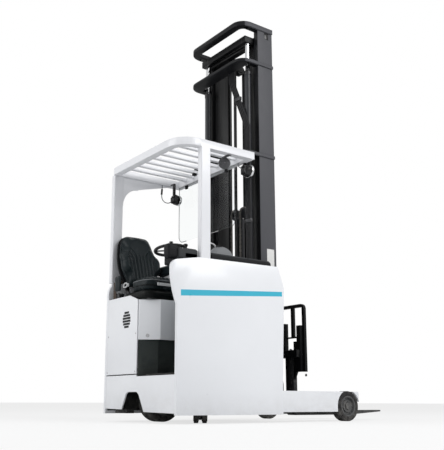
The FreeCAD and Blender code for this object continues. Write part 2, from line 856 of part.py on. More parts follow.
def reach_carriage():
    x_front = mast_rear + rail_depth
    outer_y = leg_inner_y - moving_clearance
    outline = [
        (585.0, mast_foot), (x_front + 20.0, mast_foot), (x_front + 20.0, 300.0), (x_front - 30.0, 560.0),
        (mast_rear + 20.0, 560.0), (mast_rear - 40.0, 300.0), (820.0, 206.0), (585.0, 206.0),
    ]
    arm = plate_xz(outline, mast_half_width, outer_y)
    sole = box(supply_hose_x - 13.0, x_front + 20.0, -outer_y, outer_y, mast_foot - 30.0, mast_foot)
    z = channel_bottom + roller_radius + seat_clearance
    parts = [sole]
    for side in (-1, 1):
        parts.append(arm if side > 0 else other_side(arm))
        for x in (640.0, 990.0):
            roller = rod((x, leg_inner_y + 6.0, z), (x, leg_inner_y + 6.0 + roller_width, z),
                         roller_radius)
            pin = rod((x, outer_y, z), (x, leg_inner_y + 8.0, z), 16.0)
            pair = roller.fuse(pin)
            parts.append(pair if side > 0 else other_side(pair))
    lug = box(reach_barrel_front + 10.0, reach_barrel_front + 30.0, reach_cylinder_y - 30.0,
              reach_cylinder_y + 30.0,
              mast_foot, reach_cylinder_z + 30.0)
    return fuse(parts + [lug])


def lift_barrels():
    barrels = []
    for side in (-1, 1):
        y = side * lift_cylinder_y
        tube = ring((lift_cylinder_x, y, mast_foot + 20.0), (lift_cylinder_x, y, lift_barrel_top),
                    lift_barrel_radius, lift_rod_radius + rod_clearance)
        base = rod((lift_cylinder_x, y, mast_foot), (lift_cylinder_x, y, mast_foot + 20.0),
                   lift_barrel_radius)
        barrels.append(tube.fuse(base))
    return Part.makeCompound(barrels)


def lift_rods():
    rods = []
    for side in (-1, 1):
        y = side * lift_cylinder_y
        rods.append(rod((lift_cylinder_x, y, mast_foot + 30.0),
                        (lift_cylinder_x, y, middle_top - middle_arm_drop), lift_rod_radius))
    return Part.makeCompound(rods)


def free_lift_barrel():
    base = free_barrel_base()
    tube = ring((free_barrel_x, 0, base + 20.0), (free_barrel_x, 0, free_barrel_top), free_barrel_radius,
                free_rod_radius + rod_clearance)
    return tube.fuse(rod((free_barrel_x, 0, base), (free_barrel_x, 0, base + 20.0), free_barrel_radius))


def free_lift_head():
    top = free_barrel_top + 20.0
    piston = rod((free_barrel_x, 0, free_barrel_base() + 30.0), (free_barrel_x, 0, top), free_rod_radius)
    block = box(free_barrel_x - 24.0, free_barrel_x + 24.0, -40.0, 40.0, top, top + 60.0)
    pin = rod((free_barrel_x, -chain_y - 18.0, top + 30.0), (free_barrel_x, chain_y + 18.0, top + 30.0),
              12.0)
    parts = [piston, block, pin]
    for side in (-1, 1):
        y = side * chain_y
        parts.append(rod((free_barrel_x, y - 14.0, top + 30.0), (free_barrel_x, y + 14.0, top + 30.0),
                         sheave_radius))
    return fuse(parts)


def free_lift_chains():
    # each chain runs up behind the cylinder, over its sheave and down to the fork carriage
    z = free_barrel_top + 50.0
    inner = sheave_radius + seat_clearance
    outer = inner + chain_thickness
    chains = []
    for side in (-1, 1):
        y0 = side * chain_y - chain_width / 2
        y1 = y0 + chain_width
        arch = ring((free_barrel_x, y0, z), (free_barrel_x, y1, z), outer, inner)
        arch = arch.cut(box(free_barrel_x - outer - 1, free_barrel_x + outer + 1, y0 - 1, y1 + 1,
                            z - outer - 1, z))
        rear = box(free_barrel_x - outer, free_barrel_x - inner, y0, y1, 420.0, z)
        front = box(free_barrel_x + inner, free_barrel_x + outer, y0, y1, 620.0, z)
        chains.append(fuse([arch, rear, front]))
    return Part.makeCompound(chains)


# ---- fork carriage ----

def lift_carriage():
    # side plates with rollers in the inner rails, two tilt pins at the foot
    y_inner = stage_outer_y(2) - rail_width
    plate_y1 = y_inner - rail_gap
    plate_y0 = plate_y1 - lift_plate_thickness
    front = tilt_pivot_x + 24.0
    outline = [
        (1000.0, 180.0), (1180.0, lift_plate_bottom), (front, lift_plate_bottom), (front, 240.0),
        (1200.0, 420.0), (1160.0, lift_plate_top), (1010.0, lift_plate_top),
    ]
    plate = plate_xz(outline, plate_y0, plate_y1)
    centre = stage_rear_x(2) + stage_depth(2) / 2
    roller = stage_depth(2) / 2 - rail_flange - seat_clearance
    web_face = stage_outer_y(2) - rail_width / 2 - rail_web / 2
    parts = [plate, other_side(plate)]
    for z in (240.0, 700.0):
        pair = rod((centre, y_inner + 1.0, z), (centre, web_face - 2.0, z), roller)
        pair = pair.fuse(rod((centre, plate_y1, z), (centre, y_inner + 2.0, z), 16.0))
        parts += [pair, other_side(pair)]
    bar_x = free_barrel_x + sheave_radius + chain_thickness + 2 * moving_clearance - 4.0
    parts.append(box(bar_x, bar_x + 56.0, -plate_y0, plate_y0, 660.0, 760.0))
    parts.append(box(bar_x, bar_x + 24.0, -plate_y0, plate_y0, tilt_cylinder_z - 50.0,
                     tilt_cylinder_z + 50.0))
    parts.append(box(bar_x, bar_x + 66.0, -plate_y0, plate_y0, 190.0, 260.0))
    pin = rod((tilt_pivot_x, 140.0, tilt_pivot_z), (tilt_pivot_x, plate_y0, tilt_pivot_z),
              tilt_pin_radius)
    parts += [pin, other_side(pin)]
    for side in (-1, 1):
        ear = plate_xz([(bar_x + 23.0, tilt_cylinder_z - 30.0),
                        (tilt_cylinder_rear + 16.0, tilt_cylinder_z - 16.0),
                        (tilt_cylinder_rear + 16.0, tilt_cylinder_z + 16.0), (bar_x + 23.0,
                                                                              tilt_cylinder_z + 30.0)],
                       tilt_barrel_radius + 4.0, tilt_barrel_radius + 16.0)
        parts.append(ear if side > 0 else other_side(ear))
    parts.append(rod((tilt_cylinder_rear, -tilt_barrel_radius - 8.0, tilt_cylinder_z),
                     (tilt_cylinder_rear, tilt_barrel_radius + 8.0, tilt_cylinder_z), tilt_eye_pin))
    return fuse(parts)


def tilt_barrel():
    eye = rod((tilt_cylinder_rear, -18.0, tilt_cylinder_z), (tilt_cylinder_rear, 18.0, tilt_cylinder_z),
              20.0)
    tube = rod((tilt_cylinder_rear, 0, tilt_cylinder_z), (tilt_cylinder_rear + tilt_barrel_length, 0,
                                                          tilt_cylinder_z),
               tilt_barrel_radius)
    bore = rod((tilt_cylinder_rear + tilt_bore_start, 0, tilt_cylinder_z),
               (tilt_cylinder_rear + tilt_barrel_length + 1, 0, tilt_cylinder_z),
               tilt_rod_radius + rod_clearance)
    pin = rod((tilt_cylinder_rear, -30.0, tilt_cylinder_z), (tilt_cylinder_rear, 30.0, tilt_cylinder_z),
              tilt_eye_pin + running_clearance)
    return fuse([eye, tube]).cut(bore).cut(pin)


def tilt_rod():
    eye = rod((tilt_cylinder_front, -14.0, tilt_cylinder_z),
              (tilt_cylinder_front, 14.0, tilt_cylinder_z), 16.0)
    shaft = rod((tilt_cylinder_rear + tilt_rod_start, 0, tilt_cylinder_z),
                (tilt_cylinder_front, 0, tilt_cylinder_z),
                tilt_rod_radius)
    pin = rod((tilt_cylinder_front, -20.0, tilt_cylinder_z), (tilt_cylinder_front, 20.0, tilt_cylinder_z),
              tilt_eye_pin + 1.6)
    return fuse([eye, shaft]).cut(pin)


def tilt_carriage():
    # two fork bars on posts, hinged at the foot and pushed by the tilt cylinder near the top
    x1 = fork_face - fork_thickness
    x0 = x1 - carriage_bar_depth
    half = carriage_bar_half_width
    upper = box(x0, x1, -half, half, upper_bar_z, upper_bar_z + carriage_bar_height)
    lower = box(x0, x1, -half, half, lower_bar_z, lower_bar_z + carriage_bar_height)
    parts = [upper, lower]
    lug_y1 = stage_outer_y(2) - rail_width - rail_gap - lift_plate_thickness - moving_clearance
    for side in (-1, 1):
        post = box(x0, x1, 92.0, 134.0, lower_bar_z + carriage_bar_height, upper_bar_z)
        lug = plate_xz([(x0, tilt_pivot_z + 34.0), (tilt_pivot_x, tilt_pivot_z + 27.0),
                        (tilt_pivot_x - 26.0, tilt_pivot_z + 8.0),
                        (tilt_pivot_x - 26.0, tilt_pivot_z - 12.0),
                        (tilt_pivot_x, tilt_pivot_z - 27.0),
                        (x0, tilt_pivot_z - 34.0)], lug_y1 - 28.0, lug_y1)
        lug = lug.cut(rod((tilt_pivot_x, 100.0, tilt_pivot_z), (tilt_pivot_x, 200.0, tilt_pivot_z),
                          tilt_pin_radius + running_clearance))
        ear = plate_xz([(x0, tilt_cylinder_z - 28.0),
                        (tilt_cylinder_front - 16.0, tilt_cylinder_z - 14.0),
                        (tilt_cylinder_front - 16.0, tilt_cylinder_z + 14.0),
                        (x0, tilt_cylinder_z + 28.0)], 20.0, 30.0)
        for piece in (post, lug, ear):
            parts.append(piece if side > 0 else other_side(piece))
    parts.append(rod((tilt_cylinder_front, -26.0, tilt_cylinder_z),
                     (tilt_cylinder_front, 26.0, tilt_cylinder_z),
                     tilt_eye_pin))
    return fuse(parts)


def fork(side):
    y0 = side * fork_centre_y - fork_width / 2
    y1 = y0 + fork_width
    rear = fork_face - fork_thickness
    bottom = fork_top - fork_thickness
    outline = [
        (rear, bottom + 14.0), (rear + 14.0, bottom), (fork_tip - fork_taper, bottom),
        (fork_tip, fork_top - fork_tip_thickness), (fork_tip, fork_top),
        (fork_face, fork_top), (fork_face, shank_top), (rear, shank_top),
    ]
    blade = plate_xz(outline, y0, y1)
    return rounded(blade, 2, 34.0, lambda p: p.x > fork_tip - 1)


def load_backrest():
    # bar frame on two stepped plates that bolt to the upper fork bar
    x1 = fork_face + 12.0
    x0 = x1 - backrest_depth
    plate_x0 = fork_face - fork_thickness
    half = backrest_half_width
    inner = half - backrest_bar
    bar_top = upper_bar_z + carriage_bar_height
    stay_half = backrest_bar / 2
    stepped = [
        (302.0, 345.0), (333.0, backrest_bottom), (inner, backrest_bottom), (inner, 799.0),
        (345.0, 799.0), (345.0, 664.0), (306.0, 664.0), (306.0, 553.0), (302.0, 553.0),
    ]
    upright = [
        (150.0, upper_bar_z), (192.0, upper_bar_z), (200.0, bar_top), (200.0, backrest_upright_top),
        (150.0, backrest_upright_top),
    ]
    parts = []
    for side in (-1, 1):
        post = box(x0, x1, inner, half, backrest_bottom, backrest_top)
        plate = plate_yz(stepped, plate_x0, plate_x0 + backrest_plate)
        lug = box(x0, plate_x0 + backrest_plate + 2.0, inner - 2.0, inner + 4.0, backrest_bottom, 799.0)
        strut = plate_yz(upright, plate_x0, x1 - 8.0)
        stay = box(x0, x1, backrest_stay_y - stay_half, backrest_stay_y + stay_half,
                   backrest_cross_z, backrest_top - backrest_bar + 2.0)
        for piece in (post, plate, lug, strut, stay):
            parts.append(piece if side > 0 else other_side(piece))
    parts.append(box(x0, x1, -half, half, backrest_top - backrest_bar, backrest_top))
    parts.append(box(x0, x1, -inner, inner, backrest_cross_z, backrest_cross_z + backrest_cross))
    whole = fuse(parts)
    return rounded(whole, 0, backrest_corner, lambda p: p.z > backrest_top - 1 and abs(p.y) > half - 1)


def reach_barrel():
    z = reach_cylinder_z
    y = reach_cylinder_y
    tube = rod((reach_barrel_rear, y, z), (reach_barrel_front, y, z), reach_barrel_radius)
    return tube.cut(rod((reach_barrel_rear + 12.0, y, z), (reach_barrel_front + 1, y, z),
                        reach_rod_radius + rod_clearance))


def reach_rod():
    return rod((reach_barrel_rear + 16.0, reach_cylinder_y, reach_cylinder_z),
               (reach_barrel_front + 10.0, reach_cylinder_y, reach_cylinder_z), reach_rod_radius)


def tube_along(points, radius, bend):
    # straight runs joined by tangent arcs
    vectors = [FreeCAD.Vector(*point) for point in points]
    edges = []
    start = vectors[0]
    for before, corner, after in zip(vectors, vectors[1:], vectors[2:]):
        into = (corner - before).normalize()
        out = (after - corner).normalize()
        turn = into.getAngle(out)
        reach = bend * math.tan(turn / 2)
        first = corner - into * reach
        last = corner + out * reach
        inward = (out - into).normalize()
        middle = corner + inward * (bend / math.cos(turn / 2) - bend)
        edges.append(Part.LineSegment(start, first).toShape())
        edges.append(Part.Arc(first, middle, last).toShape())
        start = last
    edges.append(Part.LineSegment(start, vectors[-1]).toShape())
    path = Part.Wire(edges)
    ring_wire = Part.Wire(Part.makeCircle(radius, vectors[0], vectors[1] - vectors[0]))
    return path.makePipeShell([ring_wire], True, True)


def supply_hoses():
    # taut bundle down the rear of the outer mast, from the second tie to the foot
    hoses = []
    for number in range(supply_hose_count):
        shift = (number - (supply_hose_count - 1) / 2) * supply_hose_pitch
        top = tie_heights[1] - tie_thickness
        points = [
            (supply_hose_x, supply_hose_top_y + shift, top), (supply_hose_x, supply_hose_top_y + shift,
                                                              top - 90.0),
            (supply_hose_x, supply_hose_low_y + shift, 2500.0), (supply_hose_x,
                                                                 supply_hose_low_y + shift, mast_foot),
        ]
        hoses.append(tube_along(points, supply_hose_radius, 160.0))
    return Part.makeCompound(hoses)


def lift_hoses():
    # three hoses up behind the free-lift cylinder, over the pulley and down in front of it
    bend = hose_pulley_radius + seat_clearance + lift_hose_radius
    hoses = []
    for number in range(lift_hose_count):
        y = (number - (lift_hose_count - 1) / 2) * lift_hose_pitch
        z = hose_pulley_z
        x = free_barrel_x
        rise = Part.LineSegment(FreeCAD.Vector(x - bend, y, foot_bar_z + 200.0),
                                FreeCAD.Vector(x - bend, y, z))
        over = Part.Arc(FreeCAD.Vector(x - bend, y, z), FreeCAD.Vector(x, y, z + bend),
                        FreeCAD.Vector(x + bend, y, z))
        fall = Part.LineSegment(FreeCAD.Vector(x + bend, y, z), FreeCAD.Vector(x + bend, y, 780.0))
        path = Part.Wire([rise.toShape(), over.toShape(), fall.toShape()])
        circle = Part.Wire(Part.makeCircle(lift_hose_radius,
                                           FreeCAD.Vector(x - bend, y, foot_bar_z + 200.0),
                                           FreeCAD.Vector(0, 0, 1)))
        hoses.append(path.makePipeShell([circle], True, True))
    return Part.makeCompound(hoses)


# ---- seat and controls ----

def behind_seat_back(shape):
    # from the backrest's own upright frame to its place on the truck
    shape.rotate(FreeCAD.Vector(0, 0, 0), FreeCAD.Vector(1, 0, 0), -back_lean)
    shape.translate(FreeCAD.Vector(seat_centre_x, back_front_y, back_bottom))
    return shape


def seat_frame():
    plinth = box(sheet + 4.0, seat_centre_x + cushion_width / 2 - 16.0, cushion_front_y + 30.0, 340.0,
                 seat_base_top, cushion_bottom - seat_clearance)
    plinth = rounded(plinth, 2, 30.0)
    y0 = back_thickness + seat_clearance
    strut = box(-130.0, -94.0, y0, y0 + 14.0, -62.0, 200.0)
    struts = [strut, strut.mirror(FreeCAD.Vector(0, 0, 0), FreeCAD.Vector(1, 0, 0))]
    return fuse([plinth] + [behind_seat_back(bar) for bar in struts])


def seat_cushion():
    half = cushion_width / 2
    pad = box(seat_centre_x - half, seat_centre_x + half, cushion_front_y, cushion_rear_y,
              cushion_bottom, cushion_bottom + cushion_height)
    pad = rounded(pad, 2, 60.0)
    top = cushion_bottom + cushion_height
    return pad.makeFillet(24.0, [e for e in pad.Edges if abs(e.CenterOfMass.z - top) < 1])


def seat_backrest():
    # padded slab that narrows to the top, with a wing standing forward at each side
    low = cushion_width / 2
    high = back_top_width / 2
    waist = 0.3 * back_height
    outline = [
        (-low, 0), (low, 0), (low, waist), (high + 20.0, back_shoulder * back_height), (high - 34.0,
                                                                                        back_height),
        (-high + 34.0, back_height), (-high - 20.0, back_shoulder * back_height), (-low, waist),
    ]
    shell = rounded(plate_xz(outline, 0, back_thickness), 1, 30.0)
    rise = back_wing_high - back_wing_low
    wing = plate_xz([
        (back_wing_inner, back_wing_low + 0.35 * rise), (back_wing_inner + 26.0, back_wing_low),
        (low, back_wing_low + 12.0), (low, back_wing_low + 0.5 * rise), (low - 18.0,
                                                                         back_wing_low + 0.85 * rise),
        (back_wing_inner + 20.0, back_wing_high), (back_wing_inner, back_wing_low + 0.75 * rise),
    ], -back_wing_depth, 2 * edge_radius)
    wing = wing.makeFillet(edge_radius,
                           [e for e in wing.Edges if abs(e.CenterOfMass.y + back_wing_depth) < 1e-3])
    far_wing = wing.mirror(FreeCAD.Vector(0, 0, 0), FreeCAD.Vector(1, 0, 0))
    return behind_seat_back(fuse([shell, wing, far_wing]))


def hip_bolster():
    # padded side stop at the rear end of the seat
    x1 = seat_centre_x - cushion_width / 2 - seat_clearance
    pad = box(x1 - hip_pad_thickness, x1, hip_pad_front_y, hip_pad_rear_y, hip_pad_bottom, hip_pad_top)
    return rounded(pad, 0, 30.0)


def side_console():
    block = box(console_rear_x, bulkhead_x, console_near_y, console_far_y, seat_base_top, console_top)
    return rounded(block, 1, 24.0, lambda p: p.z > console_top - 1)


def dash_pod():
    # low dash beside the panel, a cover along the panel's top and a taller pod at its rear end
    base = box(dash_rear_x, dash_front_x, -panel_inner_y, dash_inner_y, dash_bottom, dash_top)
    base = rounded(base, 2, 24.0, lambda p: p.y > dash_inner_y - 1)
    cover = box(cover_rear_x, right_pillar_x - pillar_depth / 2 - 3.0, -panel_inner_y, cover_inner_y,
                dash_bottom + cover_gap, dash_bottom + cover_gap + cover_height)
    cover = rounded(cover, 1, 18.0, lambda p: p.z > dash_top)
    pod = box(pod_rear_x, pod_front_x, pod_outer_y, cover_inner_y, pod_bottom, pod_top)
    pod = rounded(pod, 1, pod_corner)
    return fuse([base, cover, pod])


def steering_axis():
    tilt = math.radians(steering_tilt)
    return FreeCAD.Vector(0, math.sin(tilt), math.cos(tilt))


def steering_hub():
    return FreeCAD.Vector(steering_x, steering_y, steering_z)


def steering_column():
    axis = steering_axis()
    low = steering_hub() - axis * column_drop
    high = steering_hub() - axis * steering_boss_drop
    return rod(tuple(low), tuple(high), column_radius).cut(dash_pod())


def steering_wheel():
    hub = steering_hub()
    axis = steering_axis()
    rim = Part.makeTorus(wheel_ring_radius, wheel_tube_radius, hub, axis)
    under = hub - axis * (steering_boss_drop - seat_clearance)
    parts = [rim, rod(tuple(under), tuple(hub + axis * steering_boss_rise), steering_boss_radius)]
    side = FreeCAD.Vector(1, 0, 0)
    across = axis.cross(side)
    for number in range(steering_spokes):
        angle = 2 * math.pi * number / steering_spokes + math.pi / 2
        out = side * math.cos(angle) + across * math.sin(angle)
        parts.append(rod(tuple(hub), tuple(hub + out * wheel_ring_radius), steering_spoke_radius))
    return fuse(parts)


def console_trim():
    inner_y = -half_width + 3.0 + trim_width
    strip = box(trim_rear_x, trim_front_x, -half_width + 3.0, inner_y, hood_height, trim_top)
    strip = rounded(strip, 0, 22.0, lambda p: p.z > trim_top - 1)
    return strip.cut(panel_right())


def lever_dome():
    # half-round lever housing on the hood, cut off flat against the trim beside it
    y = -half_width + dome_inset
    z = hood_height + dome_rise
    trim_y = -half_width + 3.0 + trim_width
    ball = Part.makeSphere(dome_radius, FreeCAD.Vector(dome_x, y, z))
    base = rod((dome_x, y, hood_height), (dome_x, y, z), dome_radius)
    keep = box(dome_x - 2 * dome_radius, dome_x + 2 * dome_radius, trim_y + seat_clearance,
               y + 2 * dome_radius, hood_height, z + 2 * dome_radius)
    return fuse([ball, base]).common(keep)


def work_lamps():
    # drum lamps on straps: one under the right end of the front beam, one lower on the left
    lamps = []
    z_beam = guard_top - guard_beam
    for x, side, inset, z, radius in work_lamp_places:
        y = side * (half_width - inset)
        shell = rod((x, y, z), (x + lamp_length, y, z), radius)
        rear_rim = [e for e in shell.Edges if len(e.Vertexes) == 1 and e.CenterOfMass.x < x + 1]
        shell = shell.makeFillet(16.0, rear_rim)
        strap_top = z_beam + sheet if y > 0 else z_beam
        strap_front = x + lamp_strap + lamp_strap_width
        strap = box(x + lamp_strap, strap_front, y - lamp_strap, y + lamp_strap, z, strap_top)
        shell = shell.fuse(strap)
        if y > 0:
            tab = box(x + lamp_strap, strap_front, y, half_width - guard_beam, z_beam, strap_top)
            shell = shell.fuse(tab)
        lamps.append(shell)
    return Part.makeCompound(lamps)


def warning_horn():
    # disc horn on a flat strap under the right beam, turned to the rear corner
    beam_bottom = guard_top - guard_beam
    middle = horn_x + horn_depth / 2
    horn_y = -half_width + horn_inset
    disc = rod((horn_x, horn_y, horn_z), (horn_x + horn_depth, horn_y, horn_z), horn_radius)
    drop = box(middle - horn_strap, middle + horn_strap, horn_y - horn_drop, horn_y + horn_drop,
               horn_z + horn_radius * 0.6, beam_bottom)
    horn = fuse([disc.rotated(FreeCAD.Vector(middle, horn_y, horn_z), FreeCAD.Vector(1, 0, 0), 70.0),
                 drop])
    horn.rotate(FreeCAD.Vector(middle, horn_y, horn_z), FreeCAD.Vector(0, 0, 1), horn_turn)
    foot = box(middle - horn_foot, middle + horn_foot, -half_width + horn_foot_inset, horn_y + horn_foot,
               beam_bottom - horn_foot_thickness, beam_bottom)
    return fuse([horn, foot])


def mast_screen():
    pane = box(screen_x, screen_x + screen_thickness, -half_width + screen_right_inset,
               half_width - screen_left_inset, screen_bottom, guard_top - guard_beam)
    return rounded(pane, 0, screen_corner, lambda p: p.z < screen_bottom + 1)


for name, shape in [
    ("side_panel_right", panel_right()),
    ("side_panel_left", panel_left()),
    ("rear_skirt", rear_skirt()),
    ("rear_cover", rear_cover()),
    ("seat_base", seat_base()),
    ("footwell_lining", footwell_lining()),
    ("chassis_frame", chassis_frame()),
    ("battery", battery()),
    ("battery_hood", battery_hood()),
    ("straddle_leg_left", leg()),
    ("straddle_leg_right", other_side(leg())),
    ("load_axle_left", load_axle()),
    ("load_axle_right", other_side(load_axle())),
    ("load_hub_left", load_hub()),
    ("load_hub_right", other_side(load_hub())),
    ("load_tyre_left", load_tyre()),
    ("load_tyre_right", other_side(load_tyre())),
    ("overhead_guard", guard_frame()),
    ("guard_slats", guard_slats()),
    ("drive_unit", drive_unit()),
    ("drive_hub", drive_hub()),
    ("drive_tyre", drive_tyre()),
    ("drive_motor", drive_motor()),
    ("caster_fork", caster_fork()),
    ("caster_wheel", caster_wheel()),
    ("outer_mast", outer_mast()),
    ("mast_ties", mast_ties()),
    ("middle_mast", middle_mast()),
    ("inner_mast", inner_mast()),
    ("reach_carriage", reach_carriage()),
    ("lift_barrels", lift_barrels()),
    ("lift_rods", lift_rods()),
    ("free_lift_barrel", free_lift_barrel()),
    ("free_lift_head", free_lift_head()),
    ("free_lift_chains", free_lift_chains()),
    ("lift_carriage", lift_carriage()),
    ("tilt_carriage", tilt_carriage()),
    ("fork_left", fork(1)),
    ("fork_right", fork(-1)),
    ("load_backrest", load_backrest()),
    ("tilt_barrel", tilt_barrel()),
    ("tilt_rod", tilt_rod()),
    ("reach_barrel", reach_barrel()),
    ("reach_rod", reach_rod()),
    ("supply_hoses", supply_hoses()),
    ("lift_hoses", lift_hoses()),
    ("seat_frame", seat_frame()),
    ("seat_cushion", seat_cushion()),
    ("seat_backrest", seat_backrest()),
    ("hip_bolster", hip_bolster()),
    ("side_console", side_console()),
    ("dash_pod", dash_pod()),
    ("steering_column", steering_column()),
    ("steering_wheel", steering_wheel()),
    ("console_trim", console_trim()),
    ("lever_dome", lever_dome()),
    ("work_lamps", work_lamps()),
    ("warning_horn", warning_horn()),
    ("mast_screen", mast_screen()),
]:
    save(name, shape)
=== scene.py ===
import bpy
import bmesh
import json
import math
from mathutils import Matrix, Vector
from mathutils.bvhtree import BVHTree


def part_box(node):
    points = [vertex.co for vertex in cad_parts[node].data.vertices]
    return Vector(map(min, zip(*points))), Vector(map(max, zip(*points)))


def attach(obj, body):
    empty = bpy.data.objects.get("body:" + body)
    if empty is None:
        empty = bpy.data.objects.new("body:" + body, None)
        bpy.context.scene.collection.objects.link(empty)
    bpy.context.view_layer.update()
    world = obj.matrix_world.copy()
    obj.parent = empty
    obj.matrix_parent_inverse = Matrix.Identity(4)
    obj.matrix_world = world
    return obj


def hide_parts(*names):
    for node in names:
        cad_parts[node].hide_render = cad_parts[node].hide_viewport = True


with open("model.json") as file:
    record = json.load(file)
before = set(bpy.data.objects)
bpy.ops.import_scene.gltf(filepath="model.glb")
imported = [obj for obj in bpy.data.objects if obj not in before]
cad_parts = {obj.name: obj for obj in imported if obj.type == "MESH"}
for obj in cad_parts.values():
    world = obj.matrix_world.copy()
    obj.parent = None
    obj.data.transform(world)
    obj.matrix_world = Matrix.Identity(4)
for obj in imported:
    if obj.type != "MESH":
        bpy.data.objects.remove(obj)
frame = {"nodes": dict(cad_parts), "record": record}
scene = bpy.context.scene
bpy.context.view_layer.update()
nodes = frame["nodes"]
print("frame loaded:", len(nodes), "nodes")

rearToRow = 1.1985  # metres from the body's rear face to the middle of the truck's length


def vec(x, y, z):
    return Vector((x, y, z))


def mm(*values):
    return Vector(values) / 1000


def place(x, y, z):
    # millimetres from the body's rear face, centre line and floor, to metres in the frame
    return vec(x / 1000 - rearToRow, y / 1000, z / 1000)


def feed(tree, socket, value):
    # gives a shader socket a link or a plain value
    if isinstance(value, bpy.types.NodeSocket):
        tree.links.new(value, socket)
    else:
        socket.default_value = value


def addNode(tree, kind, **settings):
    node = tree.nodes.new(kind)
    for key, value in settings.items():
        if hasattr(node, key):
            setattr(node, key, value)
        else:
            node.inputs[key].default_value = value
    return node


def mixColour(tree, factor, first, second):
    node = addNode(tree, "ShaderNodeMix", data_type="RGBA")
    for index, value in ((0, factor), (6, first), (7, second)):
        feed(tree, node.inputs[index], value)
    return node.outputs[2]


def maths(tree, operation, *values, clamp=False):
    node = addNode(tree, "ShaderNodeMath", operation=operation, use_clamp=clamp)
    for socket, value in zip(node.inputs, values):
        feed(tree, socket, value)
    return node.outputs[0]


def vectorMaths(tree, operation, first, second, output):
    node = addNode(tree, "ShaderNodeVectorMath", operation=operation)
    feed(tree, node.inputs[0], first)
    feed(tree, node.inputs[1], second)
    return node.outputs[output]


def remap(tree, value, low, high, outLow=0.0, outHigh=1.0):
    node = tree.nodes.new("ShaderNodeMapRange")
    for key, given in (("Value", value), ("From Min", low), ("From Max", high), ("To Min", outLow),
                       ("To Max", outHigh)):
        feed(tree, node.inputs[key], given)
    return node.outputs["Result"]


def objectCoords(tree):
    return tree.nodes.new("ShaderNodeTexCoord").outputs["Object"]


def normalOf(tree):
    return tree.nodes.new("ShaderNodeNewGeometry").outputs["Normal"]


def splitOf(tree, vector):
    split = tree.nodes.new("ShaderNodeSeparateXYZ")
    feed(tree, split.inputs[0], vector)
    return split.outputs


def texture(tree, kind, coords, scale, **settings):
    node = addNode(tree, "ShaderNodeTex" + kind, **settings)
    feed(tree, node.inputs["Vector"], coords)
    feed(tree, node.inputs["Scale"], scale)
    return node.outputs


def newGroup(name, outputs, **inputs):
    tree = bpy.data.node_groups.new(name, "ShaderNodeTree")
    for label, value in inputs.items():
        kind = "NodeSocketVector" if isinstance(value, tuple) else "NodeSocketFloat"
        tree.interface.new_socket(name=label, in_out="INPUT", socket_type=kind).default_value = value
    for label in outputs:
        tree.interface.new_socket(name=label, in_out="OUTPUT", socket_type="NodeSocketFloat")
    return tree, tree.nodes.new("NodeGroupInput").outputs, tree.nodes.new("NodeGroupOutput").inputs


def buildEdgeWear():
    # light mask where a rounded normal leaves the true one, broken up by noise
    tree, given, result = newGroup("edgeWear", ["Mask"], Radius=0.002, Scale=30.0, Amount=0.5)
    bevel = addNode(tree, "ShaderNodeBevel", samples=4)
    feed(tree, bevel.inputs["Radius"], given["Radius"])
    edge = remap(tree, vectorMaths(tree, "DOT_PRODUCT", bevel.outputs[0], normalOf(tree), "Value"), 0.985, 0.86)
    noise = texture(tree, "Noise", objectCoords(tree), given["Scale"], Detail=6.0, Roughness=0.65)
    both = maths(tree, "MULTIPLY", edge, remap(tree, noise[0], 0.42, 0.62))
    feed(tree, result["Mask"], maths(tree, "MULTIPLY", both, given["Amount"], clamp=True))
    return tree


def buildGrain():
    # even grain: one height and one mottle value, both from Object coordinates
    tree, given, result = newGroup("fineGrain", ["Height", "Mottle"], Scale=400.0, Spots=6.0, Cells=0.0)
    coords = objectCoords(tree)
    noise = texture(tree, "Noise", coords, given["Scale"], Detail=3.0, Roughness=0.55)
    cells = texture(tree, "Voronoi", coords, given["Scale"], feature="F1")
    mottle = texture(tree, "Noise", coords, given["Spots"], Detail=5.0, Roughness=0.6)
    mixed = tree.nodes.new("ShaderNodeMix")
    for index, value in ((0, given["Cells"]), (2, noise[0]), (3, cells["Distance"])):
        feed(tree, mixed.inputs[index], value)
    feed(tree, result["Height"], mixed.outputs[0])
    feed(tree, result["Mottle"], mottle[0])
    return tree


def buildStreaks():
    # thin marks drawn out along one axis, as grease and sliding leave on a rail or rod
    tree, given, result = newGroup("slideStreaks", ["Mask"], Stretch=(60.0, 60.0, 1.5), Low=0.45, High=0.7)
    drawn = vectorMaths(tree, "MULTIPLY", objectCoords(tree), given["Stretch"], 0)
    noise = texture(tree, "Noise", drawn, 1.0, Detail=6.0, Roughness=0.6)
    feed(tree, result["Mask"], remap(tree, noise[0], given["Low"], given["High"]))
    return tree


def buildDust():
    # dust that settles low down and on faces that look up
    tree, given, result = newGroup("settledDust", ["Mask"], Top=0.5, Upward=0.5, Scale=14.0)
    coords = objectCoords(tree)
    low = remap(tree, splitOf(tree, coords)["Z"], given["Top"], 0.0)
    up = maths(tree, "MULTIPLY", remap(tree, splitOf(tree, normalOf(tree))["Z"], 0.6, 1.0), given["Upward"])
    noise = texture(tree, "Noise", coords, given["Scale"], Detail=7.0, Roughness=0.62)
    feed(tree, result["Mask"], maths(tree, "MULTIPLY", maths(tree, "MAXIMUM", low, up),
                                     remap(tree, noise[0], 0.35, 0.75), clamp=True))
    return tree


groups = {tree.name: tree for tree in (buildEdgeWear(), buildGrain(), buildStreaks(), buildDust())}


def useGroup(tree, name, **values):
    node = addNode(tree, "ShaderNodeGroup", node_tree=groups[name])
    for key, value in values.items():
        node.inputs[key].default_value = value
    return node.outputs


def newMaterial(name):
    material = bpy.data.materials.new(name)
    material.use_nodes = True
    return material, material.node_tree, material.node_tree.nodes["Principled BSDF"].inputs


def tinted(colour, factor=1.0):
    return (*[min(1.0, part * factor) for part in colour], 1.0)


